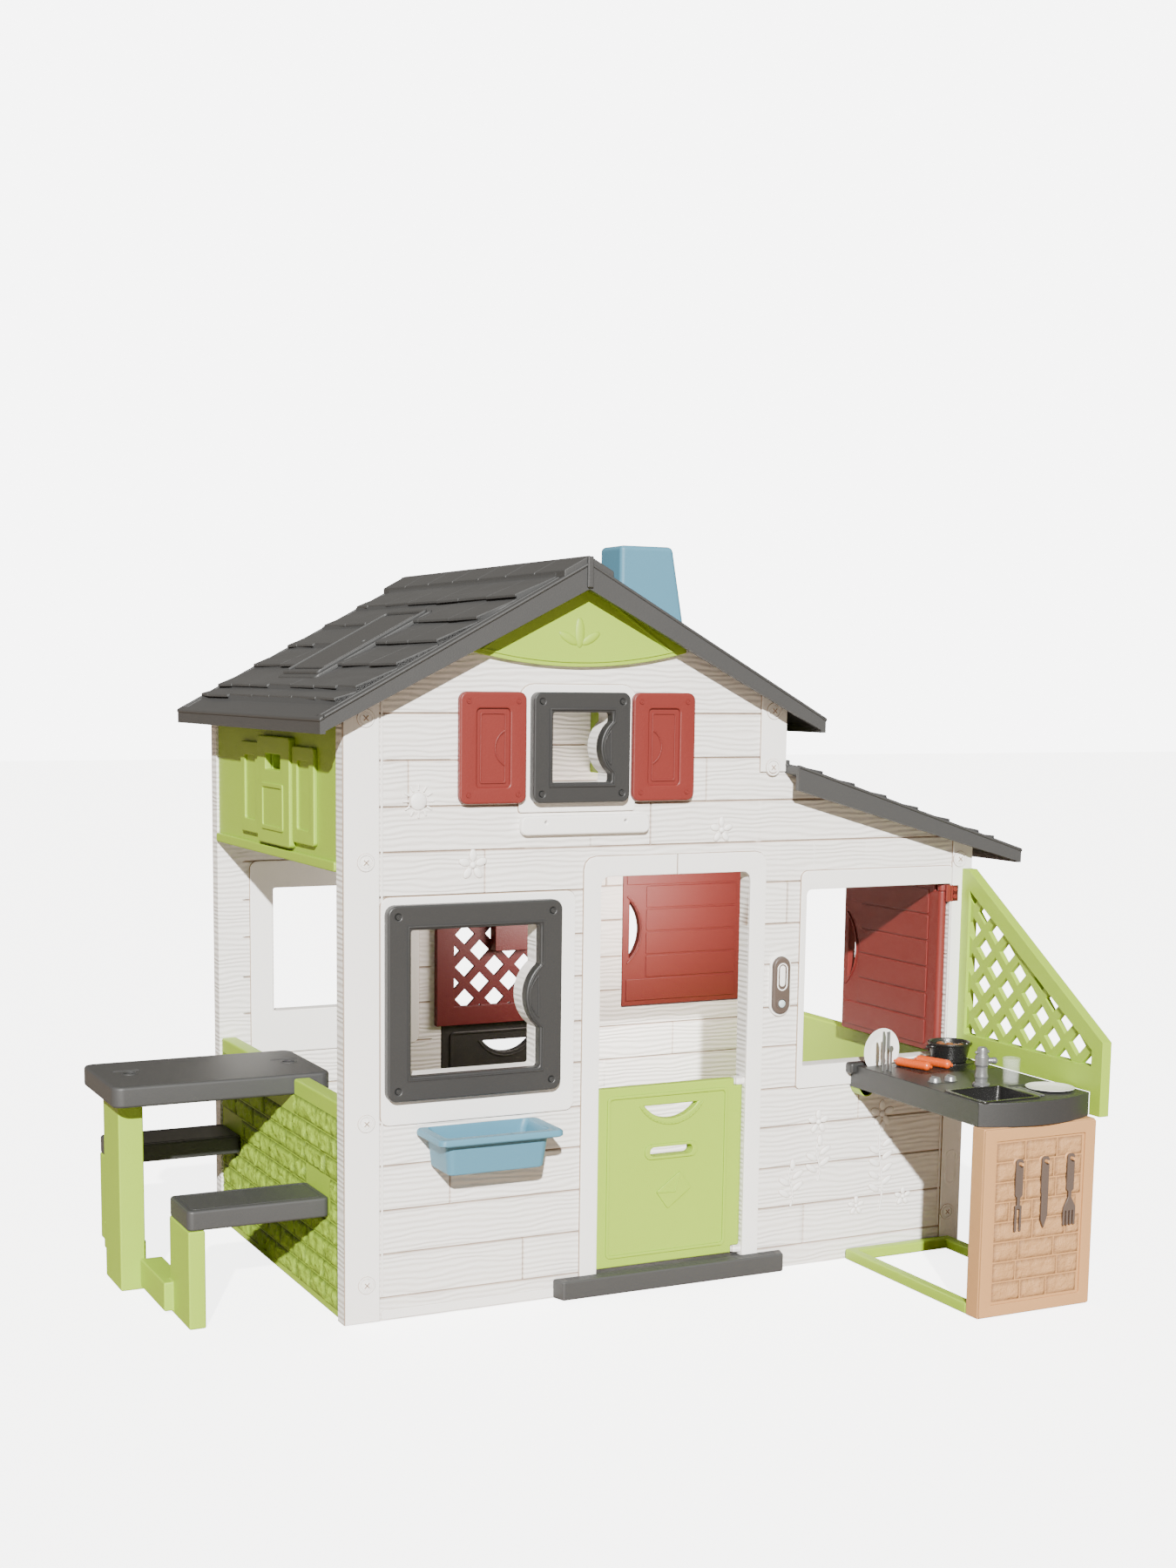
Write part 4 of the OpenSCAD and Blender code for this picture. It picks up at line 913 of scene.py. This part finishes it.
MAIN_W, LEAN_W = 617, 651
CHIMNEY_BARE = (345, 560, 470, 630)
ROOFS = {"left": (-1, RIDGE_X, RIDGE_Z, MAIN_SLOPE), "right": (1, RIDGE_X, RIDGE_Z, MAIN_SLOPE),
         "lean_to": (1, LEAN_X, LEAN_Z, LEAN_SLOPE)}
for side, width, bare in (("left", MAIN_W, None), ("right", MAIN_W, CHIMNEY_BARE), ("lean_to", LEAN_W, None)):
    hand_over(f"shingles_{side}", leaning(shingled(width, bare), *ROOFS[side]), TILE)
for side, width, cap in (("left", MAIN_W, 60), ("right", MAIN_W, 60), ("lean_to", LEAN_W, 0)):
    hand_over(f"roof_trim_{side}", leaning(trim(width, cap), *ROOFS[side]), GREY)

hand_over("ridge_end_bars", both_ends(block(540, 554, -66, -58, 1600, 1667, 2.5, 3)), GREY)

# %% [markdown]
# The left slope has a moulded roof hatch: a raised rectangle with a double rim and a small hole for a screw.
# It is drawn as boards in the flat layout, where the board's thickness becomes the height above the slope.

# %% Moulded roof hatch
FLAT = axes((1, 0, 0, 0), (0, 0, 1, 0), (0, -1, 0, 0))
rims = merge(
    board([rounded(196, 350, 486, 620, 12)], -3, 8, 2.5),
    board(band(206, 360, 476, 610, 9, 8, 7), -9.5, -3, 1.5),
    board([rounded(228, 382, 454, 588, 6), arc(341, 420, 7, 0, 330, 11)], -8, -3, 1.5),
)
rims.transform(FLAT)
hand_over("roof_hatch", leaning(rims, *ROOFS["left"]), GREY)

# %% [markdown]
# The low panels look like rough stone walls: courses of long stones with narrow joints. Every stone is a
# small grid whose middle is pushed out by noise while its rim falls back into the joint.

# %% Rough stone courses
def stone(u0, u1, v0, v1, depth, cell=8):
    columns, rows = max(2, round((u1 - u0) / cell)), max(2, round((v1 - v0) / cell))
    shape = bmesh.new()
    bmesh.ops.create_grid(shape, x_segments=columns, y_segments=rows, size=0.5)
    shape.transform(shift((u0 + u1) / 2, (v0 + v1) / 2, 0) @ stretch(u1 - u0, v1 - v0, 1))
    rim = [e for e in shape.edges if e.is_boundary]
    for vertex in shape.verts:
        u, v, h = vertex.co
        edge = min(u - u0, u1 - u, v - v0, v1 - v)
        rough = noise.noise(Vector((u / 26, v / 19, 3.1))) + 0.6 * noise.noise(Vector((u / 9, v / 8, 7.7)))
        vertex.co.z = depth * min(1, 0.25 + edge / 7) * max(0.25, min(1.25, 0.72 + 1.25 * rough))
        if edge < 0.1:
            vertex.co.z = 0.3
    skirt = bmesh.ops.extrude_edge_only(shape, edges=rim)["geom"]
    back = [g for g in skirt if isinstance(g, bmesh.types.BMVert)]
    for vertex in back:
        vertex.co.z = -2.5
    bmesh.ops.holes_fill(shape, edges=[e for e in shape.edges if e.is_boundary], sides=0)
    return shape


def courses(u0, u1, v0, v1, rows, depth, gaps=(), widths=(70, 150)):
    """Stones in rows over a rectangle, left out where they would reach into one of the gaps."""
    stones, tall = [], (v1 - v0) / rows
    for i in range(rows):
        u = u0 - random.uniform(0, 60)
        while u < u1 - 12:
            wide = random.uniform(*widths)
            a, b, low, high = max(u, u0), min(u + wide, u1), v0 + i * tall, v0 + (i + 1) * tall
            for g0, g1, g2, g3 in gaps:
                if high > g2 and low < g3:
                    if a < g0 < b:
                        b = g0
                    elif a < g1 < b:
                        a = g1
                    elif g0 <= a and b <= g1:
                        b = a
            if b - a > 14:
                stones.append(stone(a + 1.6, b - 1.6, low + 1.6, high - 1.6, depth))
            u += wide
    return merge(*stones)


TO_LEFT = axes((0, 0, -1, 5), (1, 0, 0, 0), (0, 1, 0, 0))
TO_RIGHT = axes((0, 0, 1, 1635), (1, 0, 0, 0), (0, 1, 0, 0))
LEG_Y = -524
TO_LEG = axes((1, 0, 0, 0), (0, 0, -1, LEG_Y), (0, 1, 0, 0))
# Painted shade in the joints: points at the back of the joints between the stones get the darker colour.
IN_JOINT = {"left": lambda x, y, z: x > 4.4, "right": lambda x, y, z: x < 1635.6,
            "kitchen": lambda x, y, z: y > LEG_Y - 0.6}
TABLE_GAPS = ((345, 675, 440, 500), (100, 262, 214, 268), (758, 920, 214, 268))
for name, matrix, gaps in (("left", TO_LEFT, TABLE_GAPS), ("right", TO_RIGHT, ())):
    wall = courses(52, 914, 16, 452, 9, 6.5, gaps)
    wall.transform(matrix)
    hand_over(f"{name}_stones", wall, STONE, crease=40, painted_shade=IN_JOINT[name])
kitchen_wall = courses(1335, 1576, 34, 398, 8, 3.9, (), (60, 130))
kitchen_wall.transform(TO_LEG)
hand_over("kitchen_stones", kitchen_wall, SAND, crease=60, painted_shade=IN_JOINT["kitchen"])
frame_of_leg = board([rounded(1301, 3, 1609, 430, 5), rounded(1331, 30, 1580, 402, 4)], LEG_Y - 5, LEG_Y + 1, 1.8)
peg = [(0, 4), (11, 4), (13, 2), (13, -2), (0, -2)]
pegs = [cap_on_wall(x, 348, LEG_Y, peg, 24) for x in (1394, 1466, 1538)]
hand_over("kitchen_panel_rim", merge(frame_of_leg, *pegs), BEIGE)

# %% [markdown]
# Under the eave the upper panel pretends to be a small balcony window: a middle board with the air hole and
# two narrower boards at its sides, all with round edges, over a thick ledge.

# %% Balcony panel
def side_board(loops, out, back, soft):
    """A board on the left side; its loops are in y and z and it stands out by the given distances."""
    shape = board(loops, -out, -back, soft)
    shape.transform(axes((0, 1, 0, 5), (1, 0, 0, 0), (0, 0, 1, 0)))
    return shape


vent = rounded(385, 1191, 495, 1227, 3)
balcony = [
    side_board([rounded(322, 1019, 556, 1268, 9), vent], 16, -1, 3),
    side_board(band(362, 1052, 518, 1160, 7, 10, 5), 19, 14, 1.5),
    side_board([rounded(44, 990, 922, 1012, 6)], 9, -1, 3),
]
for y in (172, 560):
    shutter = [rounded(y, 1034, y + 146, 1250, 9), rounded(y + 32, 1066, y + 114, 1218, 7)]
    balcony += [side_board(shutter, 10, -1, 2.5), side_board([rounded(y + 30, 1064, y + 116, 1220, 4)], 4, -1, 1.5)]
hand_over("balcony_boards", merge(*balcony), GREEN, painted_shade=foot(5, along=0))

# %% [markdown]
# The planter is a thin tub that narrows downwards, with a wide flat rim. It is lofted: a row of rounded
# outlines, each at its own height, is joined from the outside bottom over the rim to the inside bottom.

# %% Planter
def loft(levels, steps=5):
    """Joins rounded outlines (x0, x1, y0, y1, z, r) one after the other and closes both ends."""
    shape = bmesh.new()
    loops = []
    for x0, x1, y0, y1, z, r in levels:
        loops.append([shape.verts.new((x, y, z)) for x, y in rounded(x0, y0, x1, y1, r, steps)])
    for low, high in zip(loops, loops[1:]):
        for i in range(len(low)):
            j = (i + 1) % len(low)
            shape.faces.new((low[i], low[j], high[j], high[i]))
    shape.faces.new(loops[0])
    shape.faces.new(loops[-1])
    return shape


planter = loft([
    (202, 423, -112, -4, 341, 12), (198, 427, -116, -2, 345, 15), (190, 435, -124, -1, 410, 18),
    (189, 436, -126, -1, 412, 18), (169, 456, -145, -1, 412, 14), (165, 460, -148, 0, 415, 15),
    (165, 460, -148, 0, 423, 15), (168, 457, -145, -1, 427, 14), (188, 437, -126, -5, 427, 14),
    (193, 432, -121, -6, 423, 13), (198, 427, -116, -7, 408, 13), (204, 421, -110, -8, 347, 12),
])
hand_over("planter_tub", planter, BLUE, stands_for=("planter",), crease=40)

# %% [markdown]
# The doorbell is a capsule with a white collar, a slot for the sound and a pale button. The collar is a board
# with a hole; the button is a turned cap that moves with the button's body.

# %% Doorbell
BELL_X, BELL_Z, BUTTON_Z = 1093, 691, 648


def capsule(w, h, x=BELL_X, z=BELL_Z):
    return rounded(x - w / 2, z - h / 2, x + w / 2, z + h / 2, w / 2 - 0.01, 10)


def bell_ring(r, steps=23):
    return arc(BELL_X, BUTTON_Z, r, 0, 360 - 360 / (steps + 1), steps)


bell = merge(board([capsule(46, 136), bell_ring(9.6)], -14, -0.2, 4, 3),
             board([bell_ring(15, 29), bell_ring(10.5)], -15.6, -13, 0.7))
hand_over("bell_cover", bell, TAUPE, stands_for=("bell_body",))
collar = merge(board([capsule(58, 148), capsule(46.6, 136.6)], -7, 1, 2.4),
               board([capsule(15, 50, BELL_X, 714)], -15, -12, 1.3),
               board([capsule(28, 66, BELL_X, 712), capsule(22, 60, BELL_X, 712)], -15.2, -13, 0.8))
hand_over("bell_collar", collar, SMOOTH)
button_profile = [(0, 4.2), (4, 4), (7, 3.3), (9, 1.5), (9, -6), (12, -6.2), (12, -8), (0, -8)]
button = cap_on_wall(BELL_X, BUTTON_Z, -14, button_profile, 32)
hand_over("bell_button_cap", button, PEARL, "bell_button", ("bell_button",))

# %% [markdown]
# The toy kitchen has glossy black inserts in a grey top: a lined sink with a rim, a hob plate with a ring
# under the pot and low ribs under the sausages. All but the sink is thin and lies flat on the worktop.

# %% Worktop inserts
TOP_Z = 487


def lying(loops, low, high, z=TOP_Z, soft=0.5, steps=2):
    """A board that lies flat: its loops are in x and y, and low and high are heights above z."""
    shape = board(loops, -high, -low, soft, steps)
    shape.transform(shift(0, 0, z) @ FLAT)
    return shape


def on_top(shape, x, y, z=TOP_Z + 0.3, turn_by=0.0):
    shape.transform(shift(x, y, z) @ rotate(turn_by, "Z"))
    return shape


basin = loft([(1312.3, 1457.7, -503.7, -371.3, 449.4, 0.8), (1312.3, 1457.7, -503.7, -371.3, 486.8, 0.8),
              (1315, 1455, -501, -374, 486.8, 9), (1319, 1451, -497, -378, 456, 12),
              (1326, 1444, -490, -385, 452.5, 12)])
rim = lying(band(1304, -512, 1466, -363, 12, 10, 10), -1, 3.2, soft=1.6)
drain = on_top(turned([(0, 1.2), (7, 1.2), (9, 2.2), (12, 2), (13, 0), (0, 0)], 28), 1385, -437, 452)
hob_plate = lying([rounded(1376, -186, 1603, -14, 14)], -1, 0.22, soft=0.1, steps=1)
ring = lying([arc(1546, -64, 61, 0, 354, 59), arc(1546, -64, 55, 0, 354, 59)], -1, 1.5, soft=0.7)
grill = [lying([rounded(1382, y, 1484, y + 5, 2.4, 3)], -1, 1.1, soft=0.5, steps=1) for y in range(-176, -60, 11)]
hand_over("kitchen_inserts", merge(basin, rim, drain, hob_plate, ring, *grill), SOOT)

corner_clip = block(1284, 1334, -30, -2, 466, 493, 7, 4)
knob_field = lying([rounded(1336, -290, 1412, -250, 18)], -1, 1.0, soft=0.5)
soap_tray = lying(band(1468, -400, 1600, -372, 8, 6, 5), -1, 1.4, soft=0.6)
hand_over("worktop_details", merge(corner_clip, knob_field, soap_tray), FRAME)

# %% [markdown]
# Tap and knobs are turned parts. The tap has rings, a wing handle and a side tube that ends in a ball, and the
# knobs have a grip bar across the top.

# %% Tap and knobs
tap_profile = [(0, -6), (7.5, -6), (7.5, 0), (19, 0), (20, 1.5), (20, 6), (18, 8), (14.5, 9.5), (14, 18), (15.5, 20),
               (15.5, 26), (14, 28), (13.2, 44), (14, 48), (16, 50), (16, 69), (14, 72), (12.5, 74), (12.5, 84),
               (10, 90), (5, 92), (0, 92)]
side_tube = turned([(0, 0), (7, 0), (7, 24), (8, 25), (8, 30), (6.5, 33), (0, 36)], 24)
side_tube.transform(shift(0, 0, 60) @ rotate(60, "Z") @ rotate(90, "X"))
wing = block(-20, 20, -3.5, 3.5, 76, 83, 3, 3)
tap = on_top(merge(turned(tap_profile), side_tube, wing), 1422, -350)
hand_over("tap_body", tap, SILVER, "tap", ("tap",), crease=40)

knob_profile = [(0, -5), (4, -5), (4, 0.2), (15, 0.2), (15, 2), (13.5, 4), (12.5, 9), (11, 10.6), (0, 10.6)]
for name, x in (("hob_knob_left", 1352), ("hob_knob_right", 1396)):
    knob = turned(knob_profile, 32)
    grip = block(-2.6, 2.6, -12, 12, 8, 13.5, 1.6, 2)
    hand_over(name + "_cap", on_top(merge(knob, grip), x, -270), SILVER, name, (name,), crease=40)

# %% [markdown]
# The pot's wall is one closed profile, from the axis outside at the bottom, over the rolled rim and back inside
# to the axis. It has two loop handles. The food is a heap of flattened balls at seeded random heights.

# %% Pot with food
pot_profile = [(0, 0), (39, 0), (42, 1.5), (50, 40), (52, 42), (53, 44.5), (52.4, 47), (50.5, 48), (48.5, 46.5),
               (47, 41), (38.5, 4), (36, 3), (0, 3)]
pot = turned(pot_profile, 56)
handles = [lying([arc(x, 0, 14, 0, 345, 23), arc(x, 0, 9, 0, 345, 23)], 36, 42, 0, soft=2) for x in (-52, 52)]
hand_over("pot_shell", on_top(merge(pot, *handles), 1546, -64), SOOT, "cooking_pot", ("cooking_pot",), crease=40)

BROWN = moulded("food_brown", "food_orange", (0.16, 0.055, 0.02), 0.35, 0.15, pebble=0.002)
balls = []
for i in range(9):
    ball = bmesh.new()
    bmesh.ops.create_uvsphere(ball, u_segments=20, v_segments=12, radius=13)
    a, away = 2.4 * i, 0 if i == 0 else 27
    heap = shift(away * math.cos(a), away * math.sin(a), 27 + random.uniform(0, 6))
    ball.transform(heap @ stretch(1, 1, 0.85))
    balls.append(ball)
hand_over("pot_food", on_top(merge(*balls), 1546, -64), BROWN, "cooking_pot", crease=60)

# %% [markdown]
# Plates and the glass are turned with thin walls; one plate stands in its slot. The cutlery and the hanging
# tools are flat mouldings, so their solids only need round edges. Sausages get pinched ends.

# %% Tableware
plate_profile = [(0, 0), (31, 0), (34, 0.7), (53.5, 4.3), (55, 5), (54.8, 6), (53, 6.1), (35, 3), (31.5, 2.4),
                 (0, 2.2)]
lying_plate = on_top(turned(plate_profile, 64), 1547, -439)
standing_plate = turned(plate_profile, 64)
standing_plate.transform(shift(1362, -40, 521) @ rotate(6, "Z") @ rotate(90, "X") @ shift(0, 0, -3))
hand_over("plate_pair", merge(lying_plate, standing_plate), PLATE, stands_for=("plates",), crease=40)

glass_profile = [(0, 0), (17, 0), (18.2, 1), (20.6, 50), (21, 59), (20.5, 60), (19.4, 60), (19, 59), (16, 5.5),
                 (14.5, 4), (0, 4)]
glass = on_top(turned(glass_profile, 48), 1505, -352)
hand_over("glass_cup", glass, CLEAR, stands_for=("drinking_glass",), crease=40)
softened("cutlery", SILVER, 0.7)
for name in ("hanging_fork", "hanging_knife", "hanging_server"):
    softened(name, TAUPE, 1.5, name)

tips = []
for x in (1392, 1452):
    for along, out in ((-9, -1), (87, 1)):
        knot = turned([(0, 0), (4.2, 0), (3, 3), (3.8, 6), (0, 7)], 16)
        knot.transform(shift(x, -75, 498.3) @ rotate(18, "Z") @ rotate(90, "X") @ shift(0, 0, along)
                       @ stretch(1, 1, out))
        tips.append(knot)
hand_over("sausage_tips", merge(*tips), ORANGE, crease=50)

# %% [markdown]
# The table top has a ring and a cross bar at each plug and a long slot rim beside it. The benches have a shallow
# raised field, the door steps have three ribs, and the shutter clips get their small screws.

# %% Table, benches and steps
TABLE_Z, BENCH_Z, STEP_Z = 493, 263, 45
lines = []
for x in (-336, 46):
    slot = [rounded(x - 34, 540, x + 34, 552, 5.9, 8), rounded(x - 30, 543.5, x + 30, 548.5, 2.4, 6)]
    lines += [lying([arc(x, 510, 20, 0, 350, 35), arc(x, 510, 15, 0, 350, 35)], -1, 1.2, TABLE_Z, 0.6),
              on_top(block(-9, 9, -1.6, 1.6, -3, 1.2, 0.6), x, 510, TABLE_Z - 1.5, 45),
              lying(slot, -1, 0.9, TABLE_Z, 0.4)]
for y in (181.5, 838.5):
    field = [rounded(-304, y - 66, -6, y + 66, 12), rounded(-300, y - 62, -10, y + 62, 10)]
    lines.append(lying(field, -1, 0.9, BENCH_Z, 0.4))
for y in (-27, -20, -13, 976, 983, 990):
    lines.append(lying([rounded(530, y, 1088, y + 3, 1.4, 3)], -1, 0.8, STEP_Z, 0.3, 1))
hand_over("table_and_step_lines", merge(*lines), GREY)
hand_over("clip_screws", both_ends(merge(small_screw(1590, 902, -6), small_screw(1590, 884, -6))), RED)

# %% [markdown]
# The gable board is plain; a raised line follows its curved lower edge and the two slopes, and a small plant
# with three leaves stands in the middle.

# %% Gable board line
SPAN, SAG = 540, 34
SAG_R = (SPAN * SPAN / 4 + SAG * SAG) / (2 * SAG)


def gable_line(inset):
    """The outline of the gable board, moved inwards."""
    half = math.degrees(math.asin((262 - 2.6 * inset) / SAG_R))
    low = arc(RIDGE_X, 1430 + SAG_R, SAG_R - inset, 270 - half, 270 + half, 26)
    return [*low, (RIDGE_X, under_main(RIDGE_X) - 1.14 * inset)]


leaves = [dome(547, 1504, 34, 12, 90, 5, -13), dome(520, 1492, 27, 10, 150, 4.5, -13),
          dome(574, 1492, 27, 10, 30, 4.5, -13)]
gable_relief = merge(board([gable_line(9), gable_line(14)], -17, -13, 1.6), *leaves)
hand_over("gable_board_relief", both_ends(gable_relief), GREEN, painted_shade=foot(-13, HOUSE_D + 13))
